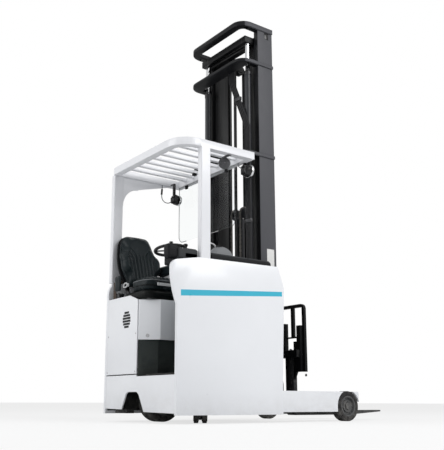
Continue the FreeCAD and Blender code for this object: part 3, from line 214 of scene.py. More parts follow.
palette = {
    "white": (0.79, 0.805, 0.835), "guardWhite": (0.78, 0.79, 0.82), "cyan": (0.022, 0.42, 0.58),
    # the darker rail black is a painted-shade copy of the mast black, for the inner mast sections
    # the mast's side-face gray is a painted highlight on the outer side faces
    "mastBlack": (0.009, 0.0095, 0.011), "shadedRailBlack": (0.0045, 0.0048, 0.0055), "webHighlightGray": (0.075, 0.076, 0.084),
    "dust": (0.42, 0.40, 0.37), "frameGray": (0.014, 0.0145, 0.015), "lining": (0.026, 0.032, 0.031),
    "seat": (0.0065, 0.0115, 0.0135), "plastic": (0.010, 0.0105, 0.012), "rubber": (0.011, 0.011, 0.012),
    "steel": (0.52, 0.52, 0.53), "oiledSteel": (0.16, 0.15, 0.14),
}


def finish(name, colour, rough, grain, mottle, metal=0.0, wear=None, dust=None, streaks=None, coat=0.0, hook=None,
           sheen=0.0, specular=0.5):
    # one painted, moulded, cast or bare finish: base colour with mottle, worn edges, dust and bump
    material, tree, shader = newMaterial(name)
    fine = useGroup(tree, "fineGrain", Scale=grain[0], Spots=mottle[0], Cells=grain[2])
    base = mixColour(tree, remap(tree, fine["Mottle"], 0.3, 0.7), tinted(colour, 1 - mottle[1]),
                     tinted(colour, 1 + mottle[1]))
    if hook:
        base = hook(tree, base)
    roughness = remap(tree, fine["Mottle"], 0.25, 0.75, rough * 0.88, min(1.0, rough * 1.14))
    if streaks:
        mark = useGroup(tree, "slideStreaks", Stretch=streaks[0], Low=streaks[1], High=streaks[2])["Mask"]
        base = mixColour(tree, mark, base, tinted(streaks[3]))
        roughness = maths(tree, "SUBTRACT", roughness, maths(tree, "MULTIPLY", mark, streaks[4]), clamp=True)
    if dust:
        settled = useGroup(tree, "settledDust", Top=dust[0], Upward=dust[1], Scale=dust[2])["Mask"]
        amount = maths(tree, "MULTIPLY", settled, dust[3])
        base = mixColour(tree, amount, base, tinted(palette["dust"]))
        roughness = maths(tree, "ADD", roughness, maths(tree, "MULTIPLY", amount, 0.3), clamp=True)
    if wear:
        worn = useGroup(tree, "edgeWear", Radius=wear[0], Scale=wear[1], Amount=wear[2])["Mask"]
        base = mixColour(tree, worn, base, tinted(wear[3]))
    bump = addNode(tree, "ShaderNodeBump", Strength=grain[1], Distance=0.0006)
    feed(tree, bump.inputs["Height"], fine["Height"])
    for key, value in (("Base Color", base), ("Roughness", roughness), ("Metallic", metal), ("Coat Weight", coat),
                       ("Specular IOR Level", specular), ("Coat Roughness", 0.12), ("Sheen Weight", sheen),
                       ("Normal", bump.outputs[0])):
        feed(tree, shader[key], value)
    return material


stripeMarks = {  # the band on the side panels: its ends, and its edges at each end, metres in the frame
    "ends": (21.0 / 1000 - rearToRow, 1017.0 / 1000 - rearToRow), "low": (0.918, 0.997), "high": (0.964, 1.035),
}


def stripeOn(tree, base):
    # a level band that climbs slightly towards the front of the panel
    spot = splitOf(tree, objectCoords(tree))
    ends = stripeMarks["ends"]
    low, high = (remap(tree, spot["X"], *ends, *stripeMarks[key]) for key in ("low", "high"))
    tests = [maths(tree, kind, spot[axis], limit) for kind, axis, limit in (
        ("GREATER_THAN", "Z", low), ("LESS_THAN", "Z", high), ("GREATER_THAN", "X", ends[0]),
        ("LESS_THAN", "X", ends[1]))]
    inside = maths(tree, "MULTIPLY", maths(tree, "MULTIPLY", *tests[:2]), maths(tree, "MULTIPLY", *tests[2:]))
    return mixColour(tree, inside, base, tinted(palette["cyan"]))


webHalf = 0.3885  # metres from the centre line to the mast's outer side faces


def webHighlightOn(tree, base):
    # painted highlight: the mast's outer side faces are painted a lighter gray, as lit faces, and the rest stays near
    # black
    side = maths(tree, "ABSOLUTE", splitOf(tree, objectCoords(tree))["Y"])
    return mixColour(tree, remap(tree, side, webHalf, webHalf + 0.002), base, tinted(palette["webHighlightGray"]))


# each row: colour, roughness, grain (scale, depth, cells), mottle (scale, amount), and what else it has:
# dust (top, upward, scale, amount), wear (radius, scale, amount, colour), streaks (stretch, low, high, colour, shine)
finishTable = {
    "panelPaint": (palette["white"], 0.30, (260.0, 0.03, 0.0), (3.0, 0.012),
                   {"dust": (0.22, 0.12, 9.0, 0.35), "coat": 0.35, "hook": stripeOn}),
    "bodyPaint": (palette["white"], 0.32, (260.0, 0.03, 0.0), (3.0, 0.012),
                  {"dust": (0.30, 0.12, 9.0, 0.35), "coat": 0.3}),
    "guardPaint": (palette["guardWhite"], 0.34, (260.0, 0.03, 0.0), (3.0, 0.015),
                   {"dust": (0.1, 0.25, 11.0, 0.3), "coat": 0.25}),
    # the outer mast's hook paints a lighter gray on its outer side faces, a painted highlight
    "mastPaint": (palette["mastBlack"], 0.42, (220.0, 0.06, 0.0), (8.0, 0.18),
                  {"wear": (0.0022, 26.0, 0.5, (0.13, 0.13, 0.14)), "dust": (0.4, 0.12, 10.0, 0.3), "hook": webHighlightOn,
                   "specular": 0.15}),
    # painted shade: the inner mast sections, carriages and load backrest get a darker copy of the mast black, for the
    # shade they sit in
    "shadedRailPaint": (palette["shadedRailBlack"], 0.36, (220.0, 0.06, 0.0), (8.0, 0.2),
                  {"wear": (0.0018, 26.0, 0.4, (0.10, 0.10, 0.11)), "dust": (0.3, 0.1, 10.0, 0.2), "specular": 0.15,
                   "streaks": ((55.0, 55.0, 1.2), 0.58, 0.84, (0.045, 0.043, 0.04), 0.12)}),
    "forkPaint": ((0.028, 0.029, 0.031), 0.42, (180.0, 0.09, 0.0), (9.0, 0.2),
                  {"wear": (0.003, 18.0, 0.8, (0.34, 0.33, 0.32)), "dust": (0.2, 0.3, 12.0, 0.3), "specular": 0.2,
                   "streaks": ((1.6, 50.0, 50.0), 0.55, 0.75, (0.13, 0.125, 0.12), 0.12)}),
    "framePaint": (palette["frameGray"], 0.5, (200.0, 0.08, 0.0), (8.0, 0.15),
                   {"wear": (0.002, 22.0, 0.35, (0.2, 0.2, 0.2)), "dust": (0.3, 0.2, 10.0, 0.2), "specular": 0.2}),
    "batteryPaint": ((0.10, 0.105, 0.11), 0.5, (200.0, 0.08, 0.0), (6.0, 0.12),
                     {"dust": (0.5, 0.5, 8.0, 0.5), "specular": 0.2}),
    "castIron": ((0.055, 0.058, 0.062), 0.55, (340.0, 0.35, 0.5), (14.0, 0.2),
                 {"metal": 0.35, "wear": (0.002, 30.0, 0.6, (0.3, 0.3, 0.3)), "dust": (0.35, 0.4, 16.0, 0.45),
                  "specular": 0.3}),
    "tyreRubber": (palette["rubber"], 0.68, (500.0, 0.25, 0.3), (12.0, 0.25),
                   {"wear": (0.002, 40.0, 0.35, (0.09, 0.088, 0.085)), "dust": (0.3, 0.2, 22.0, 0.35),
                    "specular": 0.2}),
    "cylinderPaint": ((0.026, 0.028, 0.032), 0.3, (260.0, 0.04, 0.0), (8.0, 0.12),
                      {"dust": (0.5, 0.4, 12.0, 0.3), "specular": 0.3}),
    "chromeRod": ((0.78, 0.79, 0.80), 0.14, (600.0, 0.02, 0.0), (5.0, 0.03),
                  {"metal": 1.0, "streaks": ((80.0, 80.0, 1.0), 0.62, 0.85, (0.45, 0.44, 0.42), 0.0)}),
    "oiledSteel": (palette["oiledSteel"], 0.34, (500.0, 0.15, 0.3), (30.0, 0.3), {"metal": 0.85}),
    "zincSteel": (palette["steel"], 0.36, (420.0, 0.08, 0.0), (20.0, 0.12), {"metal": 0.9}),
    "darkSteel": ((0.05, 0.05, 0.053), 0.4, (420.0, 0.1, 0.0), (20.0, 0.2), {"metal": 0.7, "specular": 0.4}),
    "hoseRubber": ((0.018, 0.018, 0.020), 0.46, (900.0, 0.2, 0.0), (20.0, 0.2), {"specular": 0.2}),
    "liningPlastic": (palette["lining"], 0.62, (900.0, 0.2, 0.7), (5.0, 0.1),
                      {"dust": (0.6, 0.3, 12.0, 0.25), "specular": 0.2}),
    "dashPlastic": (palette["plastic"], 0.52, (1400.0, 0.28, 0.8), (10.0, 0.12),
                    {"dust": (0.1, 0.25, 14.0, 0.12), "specular": 0.12}),
    "coverPlastic": ((0.036, 0.038, 0.041), 0.6, (1100.0, 0.35, 0.9), (10.0, 0.12),
                     {"dust": (0.1, 0.2, 14.0, 0.1), "specular": 0.2}),
    "grayPlastic": ((0.19, 0.197, 0.208), 0.45, (1200.0, 0.15, 0.6), (8.0, 0.06), {}),
    "paleGray": ((0.46, 0.47, 0.48), 0.45, (1200.0, 0.12, 0.6), (8.0, 0.05), {}),
    "wheelGrip": ((0.014, 0.014, 0.015), 0.42, (1500.0, 0.3, 0.8), (12.0, 0.1), {"specular": 0.2}),
    "glossBlack": ((0.012, 0.012, 0.013), 0.16, (300.0, 0.02, 0.0), (8.0, 0.1), {"specular": 0.35}),
    "matRubber": ((0.028, 0.030, 0.031), 0.72, (700.0, 0.35, 0.4), (9.0, 0.15),
                  {"dust": (0.9, 0.6, 16.0, 0.35), "specular": 0.2}),
    "seatVinyl": (palette["seat"], 0.40, (620.0, 0.35, 0.85), (7.0, 0.12), {"sheen": 0.03, "specular": 0.16}),
    # painted shade: a darker copy of the seat vinyl for the plinth and the cushion's lower seam, for the shade under
    # the cushion
    "shadedPlinthVinyl": ((0.0035, 0.0042, 0.0045), 0.36, (620.0, 0.35, 0.85), (7.0, 0.12), {"specular": 0.12}),
    # painted highlight: a real piping tube, coloured a lighter gray for the light the cushion's top edge catches
    "pipingHighlightGray": ((0.13, 0.14, 0.148), 0.5, (1200.0, 0.2, 0.4), (9.0, 0.08), {}),
    "reflector": ((0.80, 0.80, 0.79), 0.16, (120.0, 0.1, 0.6), (30.0, 0.03), {"metal": 1.0}),
    "hornPaint": ((0.10, 0.102, 0.108), 0.4, (300.0, 0.05, 0.0), (10.0, 0.12),
                  {"dust": (0.1, 0.3, 12.0, 0.2), "specular": 0.3}),
    "redPlastic": ((0.42, 0.015, 0.012), 0.35, (700.0, 0.05, 0.0), (8.0, 0.05), {}),
    "blankPlate": ((0.70, 0.70, 0.69), 0.4, (500.0, 0.03, 0.0), (8.0, 0.02), {}),
    "beltWebbing": ((0.055, 0.040, 0.032), 0.7, (1800.0, 0.5, 0.0), (16.0, 0.12), {"specular": 0.2}),
}
finishes = {name: finish(name, *row, **extras) for name, (*row, extras) in finishTable.items()}


def clearFinish(name, colour, rough, ior):
    # see-through plastic or glass with faint smears in its roughness
    material, tree, shader = newMaterial(name)
    fine = useGroup(tree, "fineGrain", Scale=40.0, Spots=5.0, Cells=0.0)
    feed(tree, shader["Roughness"], remap(tree, fine["Mottle"], 0.3, 0.8, rough, rough * 3))
    feed(tree, shader["Base Color"], mixColour(tree, fine["Height"], tinted(colour, 0.985), tinted(colour)))
    feed(tree, shader["Transmission Weight"], 1.0)
    feed(tree, shader["IOR"], ior)
    return material


finishes["clearPane"] = clearFinish("clearPane", (0.96, 0.975, 0.975), 0.012, 1.12)
finishes["lampGlass"] = clearFinish("lampGlass", (0.97, 0.97, 0.97), 0.02, 1.3)
print("finishes made:", len(finishes))

nodeFinish = {
    "panelPaint": "side_panel_right side_panel_left",
    "bodyPaint": "rear_skirt rear_cover seat_base battery_hood straddle_leg_left straddle_leg_right",
    "guardPaint": "overhead_guard guard_slats",
    "framePaint": "chassis_frame reach_carriage load_axle_left load_axle_right",
    "batteryPaint": "battery",
    "mastPaint": "outer_mast mast_ties",
    # painted shade: the inner mast parts take the darker copy of the mast black
    "shadedRailPaint": "middle_mast inner_mast lift_carriage tilt_carriage load_backrest",
    "forkPaint": "fork_left fork_right",
    "castIron": "load_hub_left load_hub_right drive_hub drive_unit caster_fork drive_motor",
    "tyreRubber": "load_tyre_left load_tyre_right drive_tyre caster_wheel",
    "chromeRod": "lift_rods reach_rod tilt_rod",
    "cylinderPaint": "lift_barrels free_lift_barrel free_lift_head tilt_barrel reach_barrel",
    "oiledSteel": "free_lift_chains",
    "hoseRubber": "supply_hoses lift_hoses",
    "seatVinyl": "seat_cushion seat_backrest hip_bolster",
    "glossBlack": "seat_frame",
    "liningPlastic": "footwell_lining",
    "dashPlastic": "dash_pod steering_column console_trim side_console",
    "grayPlastic": "lever_dome",
    "wheelGrip": "steering_wheel",
    "clearPane": "mast_screen",
}
edgeRound = {  # how far each sheet, rail or casting edge is rounded, metres
    0.012: "overhead_guard",
    0.009: "side_panel_right side_panel_left",
    0.008: "straddle_leg_left straddle_leg_right guard_slats",
    0.006: "battery side_console",
    0.005: "battery_hood mast_ties load_backrest",
    0.004: "rear_skirt seat_base outer_mast tilt_carriage fork_left fork_right console_trim",
    0.003: "rear_cover middle_mast inner_mast reach_carriage lift_carriage",
    0.002: "chassis_frame footwell_lining drive_unit caster_fork load_hub_left load_hub_right free_lift_head",
}

for finishName, members in nodeFinish.items():
    for member in members.split():
        nodes[member].data.materials.clear()
        nodes[member].data.materials.append(finishes[finishName])
for width, members in edgeRound.items():
    for member in members.split():
        piece = nodes[member]
        piece.modifiers.new("weld", "WELD").merge_threshold = 0.00002
        bevel = piece.modifiers.new("round", "BEVEL")
        bevel.width = width
        bevel.segments = 3
        bevel.limit_method = "ANGLE"
        bevel.angle_limit = math.radians(24)
        bevel.harden_normals = True
        for face in piece.data.polygons:
            face.use_smooth = True
print("frame pieces finished")


def turnTo(direction):
    return Vector(direction).to_track_quat("Z", "Y").to_matrix().to_4x4()


def roundOff(form, edges, offset, segments):
    bmesh.ops.bevel(form, geom=list(edges), offset=offset, offset_type="OFFSET", segments=segments, profile=0.5,
                    affect="EDGES", material=-1)


def edgesAt(verts):
    return {edge for vert in verts for edge in vert.link_edges}


def addBlock(form, low, high, rounding=0.0, segments=3, turn=None):
    # box between two corners, all edges rounded, turned about its middle
    matrix = Matrix.Translation((low + high) / 2) @ (turn or Matrix()) @ Matrix.Diagonal((*(high - low), 1))
    made = bmesh.ops.create_cube(form, size=1.0, matrix=matrix)
    if rounding:
        roundOff(form, edgesAt(made["verts"]), rounding, segments)


def addDrum(form, at, axis, radius, length, rounding=0.0, steps=32):
    # drum that starts at a point and runs along an axis, both rims rounded
    axis = Vector(axis).normalized()
    made = bmesh.ops.create_cone(form, cap_ends=True, segments=steps, radius1=radius, radius2=radius, depth=length,
                                 matrix=Matrix.Translation(at + axis * length / 2) @ turnTo(axis))
    if rounding:
        rims = [face for face in {face for vert in made["verts"] for face in vert.link_faces}
                if abs(face.normal.dot(axis)) > 0.99 or len(face.verts) > 4]
        roundOff(form, {edge for face in rims for edge in face.edges}, rounding, 3)


def addSpun(form, profile, at, axis, steps=64):
    # closed or open line of radius and height steps, spun once round an axis
    axis = Vector(axis).normalized()
    side = turnTo(axis).to_3x3() @ vec(1, 0, 0)
    verts = [form.verts.new(at + side * radius + axis * height) for radius, height in profile]
    edges = [form.edges.new(pair) for pair in zip(verts, verts[1:])]
    bmesh.ops.spin(form, geom=verts + edges, cent=at, axis=axis, angle=math.tau, steps=steps,
                   use_merge=True, use_duplicate=False)


def addPlate(form, outline, thickness, rounding=0.0, segments=2):
    # flat outline pushed along a vector
    face = form.faces.new([form.verts.new(point) for point in outline])
    made = bmesh.ops.extrude_face_region(form, geom=[face])
    top = [item for item in made["geom"] if isinstance(item, bmesh.types.BMVert)]
    bmesh.ops.translate(form, verts=top, vec=thickness)
    if rounding:
        roundOff(form, edgesAt(top) | set(face.edges), rounding, segments)


def addTube(form, points, radius, order=3, closed=False, resolution=6, bevel=4):
    # round bar along a smooth line through space
    data = bpy.data.curves.new("bar", "CURVE")
    data.dimensions = "3D"
    data.bevel_depth = radius
    data.bevel_resolution = bevel
    data.use_fill_caps = True
    spline = data.splines.new("NURBS")
    spline.points.add(len(points) - 1)
    for target, point in zip(spline.points, points):
        target.co = (*point, 1)
    spline.order_u = order
    spline.use_endpoint_u = not closed
    spline.use_cyclic_u = closed
    spline.resolution_u = resolution
    bar = bpy.data.objects.new("bar", data)
    mesh = bpy.data.meshes.new_from_object(bar)
    form.from_mesh(mesh)
    bpy.data.objects.remove(bar)
    bpy.data.meshes.remove(mesh)


def addBolt(form, at, axis, radius, height=None):
    # hexagon head on a round washer
    axis = Vector(axis).normalized()
    height = height or radius * 0.7
    addDrum(form, at - axis * 0.0005, axis, radius * 1.32, 0.0018, steps=20)
    matrix = Matrix.Translation(at + axis * (height / 2 + 0.0012)) @ turnTo(axis)
    made = bmesh.ops.create_cone(form, cap_ends=True, segments=6, radius1=radius, radius2=radius * 0.97,
                                 depth=height, matrix=matrix)
    roundOff(form, edgesAt(made["verts"]), radius * 0.09, 1)


def addScrew(form, at, axis, radius):
    # low round head with a sunk socket
    shares = [(0.0, 0.3), (0.42, 0.3), (0.5, 0.62), (0.82, 0.55), (1.0, 0.25)]
    addSpun(form, [(radius * across, radius * rise) for across, rise in shares] + [(radius, -0.0005), (0.0, -0.0005)],
            at, axis, 18)


def newObject(name, data):
    made = bpy.data.objects.new(name, data)
    scene.collection.objects.link(made)
    return made


def meshOf(form, name):
    mesh = bpy.data.meshes.new(name)
    form.to_mesh(mesh)
    form.free()
    return mesh


def dressPiece(mesh, name, finishName, slot, replaced=(), body="chassis", sharp=34):
    mesh.shade_smooth()
    mesh.set_sharp_from_angle(angle=math.radians(sharp))
    piece = newObject(name, mesh)
    mesh.materials.clear()
    mesh.materials.append(finishes[finishName])
    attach(piece, body)
    if replaced:
        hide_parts(*replaced)
    return piece


def finishPiece(form, name, *look, **more):
    bmesh.ops.remove_doubles(form, verts=form.verts, dist=0.000005)
    bmesh.ops.recalc_face_normals(form, faces=form.faces)
    dressPiece(meshOf(form, name), name, *look, **more)


def buildPiece(name, finishName, slot, *shapes, **more):
    # piece made of shapes, each the function that adds it and what that is given
    form = bmesh.new()
    for add, *values in shapes:
        add(form, *values)
    finishPiece(form, name, finishName, slot, **more)


def boxOf(node):
    low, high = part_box(node)
    return Vector(low), Vector(high)


def spanOf(points):
    # lowest and highest corner of some points
    return tuple(Vector([pick(point[axis] for point in points) for axis in range(3)]) for pick in (min, max))


def cornersOf(node):
    return [vert.co for vert in nodes[node].data.vertices]


def partOf(node, low, high):
    # corners of what a frame piece has between two places, millimetres
    low, high = place(*low), place(*high)
    return spanOf([point for point in cornersOf(node) if all(low[i] <= point[i] <= high[i] for i in range(3))])


def spokesOf(count, flat):
    # directions evenly round the upright axis, or round the one across the truck
    for number in range(count):
        angle = math.tau * number / count
        first, second = math.cos(angle), math.sin(angle)
        yield angle, vec(first, second, 0) if flat else vec(first, 0, second)


def jointOf(name):
    joint = next(joint for joint in frame["record"]["behaviour"]["joints"] if joint["name"] == name)
    return Vector(joint["pos_m"]), Vector(joint["axis"]).normalized()


wheelSet = {  # load wheels: radii and depths along the axle, metres
    "hub": 0.086, "shoulder": 0.011, "lipDepth": 0.003, "dish": 0.071, "dishDepth": 0.021, "step": 0.052,
    "stepDepth": 0.012, "cap": 0.030, "capDepth": 0.001, "capLip": 0.019, "bore": 0.0252, "bolts": 6,
    "boltCircle": 0.061, "bolt": (0.0055, 0.006), "nippleRise": 0.041,
}


def tyreProfile(radius, width, bore, shoulder, grooves=0):
    # bulged side walls with a moulding step, round shoulders, a crowned tread with fine rings
    half = width / 2
    side = [(bore, -half + 0.003), (bore + 0.004, -half + 0.0008), (bore + 0.5 * (radius - bore), -half),
            (radius - shoulder * 1.9, -half + 0.0012), (radius - shoulder * 1.7, -half + 0.0028),
            (radius - shoulder, -half + 0.0032)]
    for step in range(1, 5):
        angle = math.pi / 2 * step / 5
        side.append((radius - shoulder + shoulder * math.sin(angle),
                     -half + shoulder + 0.0032 - shoulder * math.cos(angle)))
    side.append((radius - 0.0006, -half + shoulder + 0.004))
    tread = []
    for groove in range(grooves):
        middle = -half + (groove + 1) * width / (grooves + 1)
        tread += [(radius, middle - 0.0022), (radius - 0.0022, middle - 0.0012),
                  (radius - 0.0022, middle + 0.0012), (radius, middle + 0.0022)]
    return side + tread + [(r, -t) for r, t in reversed(side)] + side[:1]


def buildLoadWheel(side, s):
    low, high = boxOf("load_tyre_" + side)
    middle, half = (low + high) / 2, (high.y - low.y) / 2
    out = vec(0, 1 if side == "left" else -1, 0)
    body = "load_wheel_" + side
    tyre = tyreProfile((high.z - low.z) / 2, high.y - low.y, s["hub"], s["shoulder"])
    buildPiece("loadTyre_" + side, "tyreRubber", "wheel_rubber", (addSpun, tyre, middle, out, 96),
               replaced=("load_tyre_" + side,), body=body)
    hub, dish, step, cap, bore = s["hub"], s["dish"], s["step"], s["cap"], s["bore"]
    face, floor, ledge, top = (half - s[key] for key in ("lipDepth", "dishDepth", "stepDepth", "capDepth"))
    profile = [(bore, -half + 0.003), (hub, -half + 0.003), (hub, face), (hub - 0.002, face + 0.002),
               (dish + 0.006, face + 0.002), (dish + 0.002, face), (dish, face - 0.004), (dish - 0.006, floor),
               (step + 0.003, floor), (step, floor + 0.004), (step - 0.002, ledge), (cap + 0.004, ledge),
               (cap + 0.002, ledge - 0.002), (cap, ledge), (cap - 0.001, top - 0.003), (cap - 0.005, top),
               (0.008, top), (0.006, top - 0.002), (0.0, top - 0.002), (0.0, half - s["capLip"]),
               (bore, half - s["capLip"]), (bore, -half + 0.003)]
    bolts = [(addBolt, middle + out * floor + spoke * s["boltCircle"], out, *s["bolt"])
             for _, spoke in spokesOf(s["bolts"], False)]
    nipple = (addDrum, middle + out * (ledge - 0.001) + vec(0, 0, s["nippleRise"]), out, 0.0035, 0.008, 0.001, 12)
    buildPiece("loadHub_" + side, "castIron", "cast_hub", (addSpun, profile, middle, out, 72), *bolts, nipple,
               replaced=("load_hub_" + side,), body=body)


for sideName in ("left", "right"):
    buildLoadWheel(sideName, wheelSet)

driveSet = {
    "hub": 0.118, "shoulder": 0.014, "grooves": 5, "bolts": 8, "boltCircle": 0.088, "bolt": (0.0075, 0.005),
    "plate": [(0.108, 0.0), (0.106, 0.003), (0.070, 0.003), (0.066, 0.007), (0.040, 0.008), (0.034, 0.0095),
              (0.0, 0.0095), (0.0, -0.0005), (0.108, -0.0005), (0.108, 0.0)],
}


def buildDriveWheel(s):
    low, high = boxOf("drive_tyre")
    middle = (low + high) / 2
    out = vec(0, -1, 0)
    tyre = tyreProfile((high.z - low.z) / 2, high.y - low.y, s["hub"], s["shoulder"], s["grooves"])
    buildPiece("driveTyre", "tyreRubber", "wheel_rubber", (addSpun, tyre, middle, out, 112),
               replaced=("drive_tyre",), body="drive_wheel")
    face = vec(middle.x, boxOf("drive_hub")[0].y, middle.z)
    bolts = [(addBolt, face + out * 0.0025 + spoke * s["boltCircle"], out, *s["bolt"])
             for _, spoke in spokesOf(s["bolts"], False)]
    buildPiece("driveHubPlate", "castIron", "cast_hub", (addSpun, s["plate"], face, out), *bolts,
               body="drive_wheel")


buildDriveWheel(driveSet)

casterSet = {"width": 0.042, "bore": 0.012, "hub": 0.052, "shoulder": 0.008, "gap": 0.011}


def buildCasterWheels(s):
    middle, axis = jointOf("caster_spin")
    half, hub, bore = s["width"] / 2, s["hub"], s["bore"]
    rims, discs = [], []
    for way in (1, -1):
        out = axis * way
        centre = middle + out * (s["gap"] + s["width"] / 2)
        rims.append((addSpun, tyreProfile(middle.z, s["width"], hub, s["shoulder"]), centre, out))
        discs.append((addSpun, [(bore, -half + 0.002), (hub, -half + 0.002), (hub, half - 0.002),
                                (hub - 0.005, half - 0.001), (hub - 0.008, half - 0.006), (0.026, half - 0.008),
                                (0.022, half - 0.003), (bore, half - 0.003), (bore, -half + 0.002)],
                      centre, out, 48))
    buildPiece("casterTyres", "tyreRubber", "wheel_rubber", *rims, replaced=("caster_wheel",), body="caster_roller")
    buildPiece("casterHubs", "castIron", "cast_hub", *discs, body="caster_roller")


buildCasterWheels(casterSet)
print("wheels built")

seatSet = {  # puffed pads and their sewing, metres
    "voxel": 0.0075, "pressure": 4.0, "cap": 0.024, "channelDepth": 0.0075, "channelWidth": 0.0052,
    "piping": 0.0042, "corner": 0.095, "columns": (-0.099, -0.066, -0.033, 0.0, 0.033, 0.066, 0.099),
    "rows": (-0.135, 0.120),
}
backSet = {  # half widths up the back, and the sewn channels on it, metres from the middle of its foot
    "lean": 18.0, "height": 0.524, "depth": 0.076, "wingFrom": 0.108, "wingTo": 0.158, "wingDepth": 0.044,
    "halfWidths": [(0.0, 0.152), (0.06, 0.163), (0.13, 0.178), (0.19, 0.189), (0.25, 0.192), (0.30, 0.189),
                   (0.35, 0.181), (0.40, 0.171), (0.44, 0.160), (0.475, 0.142), (0.505, 0.116), (0.524, 0.080)],
    "channels": [[(0.0165, 0.045), (0.0165, 0.296)], [(0.0495, 0.045), (0.0495, 0.296)],
                 [(0.0825, 0.045), (0.0825, 0.262), (0.094, 0.298), (0.150, 0.366)],
                 [(0.0495, 0.292), (0.062, 0.322), (0.128, 0.400)],
                 [(0.112, 0.045), (0.112, 0.240), (0.122, 0.268), (0.168, 0.322)]],
    "foot": (0.241, 1.085), "floor": 1.058, "front": -0.052,
}


def between(table, value):
    for (x0, y0), (x1, y1) in zip(table, table[1:]):
        if value <= x1:
            return y0 + (y1 - y0) * max(0.0, (value - x0) / (x1 - x0))
    return table[-1][1]


def ease(low, high, value):
    t = min(1.0, max(0.0, (value - low) / (high - low)))
    return t * t * (3 - 2 * t)


def evaluated(piece):
    return piece.evaluated_get(bpy.context.evaluated_depsgraph_get())


def puffUp(form, name, s):
    # even mesh, blown up a little as air and foam do, no point further than the cap
    pad = newObject(name + "Blank", meshOf(form, name))
    remesh = pad.modifiers.new("remesh", "REMESH")
    remesh.mode = "VOXEL"
    remesh.voxel_size = s["voxel"]
    even = bpy.data.meshes.new_from_object(evaluated(pad))
    pad.modifiers.clear()
    pad.data = even
    start = [vert.co.copy() for vert in even.vertices]
    cloth = pad.modifiers.new("puff", "CLOTH")
    cloth.settings.quality = 3
    cloth.settings.use_pressure = True
    cloth.settings.uniform_pressure_force = s["pressure"]
    cloth.settings.effector_weights.gravity = 0
    for step in range(1, 21):
        scene.frame_set(step)
    ends = [vert.co.copy() for vert in evaluated(pad).data.vertices]
    pad.modifiers.clear()
    for vert, first, last in zip(even.vertices, start, ends):
        move = last - first
        vert.co = first + (move.normalized() * s["cap"] if move.length > s["cap"] else move)
    scene.frame_set(1)
    bpy.data.objects.remove(pad)
    form = bmesh.new()
    form.from_mesh(even)
    for step in range(4):
        bmesh.ops.smooth_vert(form, verts=form.verts, factor=0.5, use_axis_x=True, use_axis_y=True,
                              use_axis_z=True)
    form.to_mesh(even)
    form.free()
    smooth = newObject(name + "Smooth", even)
    fine = smooth.modifiers.new("fine", "SUBSURF")
    fine.levels = fine.render_levels = 1
    result = bpy.data.meshes.new_from_object(evaluated(smooth))
    bpy.data.objects.remove(smooth)
    result.name = name
    return result


def lineDistance(u, v, line):
    best = 1.0
    for (u0, v0), (u1, v1) in zip(line, line[1:]):
        du, dv = u1 - u0, v1 - v0
        t = min(1.0, max(0.0, ((u - u0) * du + (v - v0) * dv) / (du * du + dv * dv)))
        best = min(best, math.hypot(u - u0 - t * du, v - v0 - t * dv))
    return best


def sewChannels(mesh, lines, flatPlace, s):
    # pulls narrow grooves into the faces that look against the inward direction
    across, up, inward, origin = flatPlace
    for vert in mesh.vertices:
        if vert.normal.dot(inward) > -0.45:
            continue
        spot = vert.co - origin
        nearest = min(lineDistance(spot.dot(across), spot.dot(up), line) for line in lines)
        if nearest < s["channelWidth"] * 3:
            vert.co += inward * s["channelDepth"] * math.exp(-(nearest / s["channelWidth"]) ** 2)


def keepWithin(mesh, low, high):
    for vert in mesh.vertices:
        for axis in range(3):
            vert.co[axis] = min(high[axis], max(low[axis], vert.co[axis]))


def onSurface(mesh, guide, lift):
    # guide points moved onto the mesh, then off it by the lift
    form = bmesh.new()
    form.from_mesh(mesh)
    surface = BVHTree.FromBMesh(form)
    form.free()
    found = [surface.find_nearest(point)[:2] for point in guide]
    return [spot + normal * lift for spot, normal in found]


def roundedLoop(x0, x1, y0, y1, radius, z, steps=6):
    loop = []
    for cx, cy, turn in ((x1 - radius, y1 - radius, 0), (x0 + radius, y1 - radius, 90),
                         (x0 + radius, y0 + radius, 180), (x1 - radius, y0 + radius, 270)):
        for step in range(steps + 1):
            angle = math.radians(turn + 90 * step / steps)
            loop.append(vec(cx + radius * math.cos(angle), cy + radius * math.sin(angle), z))
    return loop


def dressPad(mesh, name, replaced):
    dressPiece(mesh, name, "seatVinyl", "seat_vinyl", (replaced,), sharp=60)


def buildCushion(s):
    low, high = boxOf("seat_cushion")
    form = bmesh.new()
    loop = roundedLoop(low.x + 0.012, high.x - 0.012, low.y + 0.012, high.y - 0.012, s["corner"], low.z + 0.001)
    addPlate(form, loop, vec(0, 0, high.z - low.z - 0.017), 0.020, 4)
    mesh = puffUp(form, "seatCushion", s)
    rear, front = s["rows"]
    lines = [[(u, rear), (u, front)] for u in s["columns"]] + [[(s["columns"][0], rear), (s["columns"][-1], rear)]]
    sewChannels(mesh, lines, (vec(1, 0, 0), vec(0, 1, 0), vec(0, 0, -1), (low + high) / 2), s)
    keepWithin(mesh, low + vec(-0.004, -0.004, 0.0005), high + vec(0.004, 0.001, 0.004))
    dressPad(mesh, "seatCushion", "seat_cushion")
    # the lower seam takes the darker seat vinyl, a painted shade
    # the top piping is painted a lighter gray, a painted highlight on the cushion's top edge
    for name, height, cover in (("cushionPiping", high.z - 0.012, "pipingHighlightGray"),
                                ("cushionSeam", low.z + 0.034, "shadedPlinthVinyl")):
        guide = roundedLoop(low.x - 0.01, high.x + 0.01, low.y - 0.01, high.y + 0.01, s["corner"], height)
        buildPiece(name, cover, "seat_vinyl", (addTube, onSurface(mesh, guide, s["piping"] * 0.45), s["piping"],
                                               3, True, 3, 2), sharp=80)


def backPlaces(s):
    # foot of the leaned back, its directions across, up and rearwards
    lean = math.radians(s["lean"])
    low, high = boxOf("seat_backrest")
    return (vec((low.x + high.x) / 2, *s["foot"]), vec(1, 0, 0), vec(0, math.sin(lean), math.cos(lean)),
            vec(0, math.cos(lean), -math.sin(lean)))


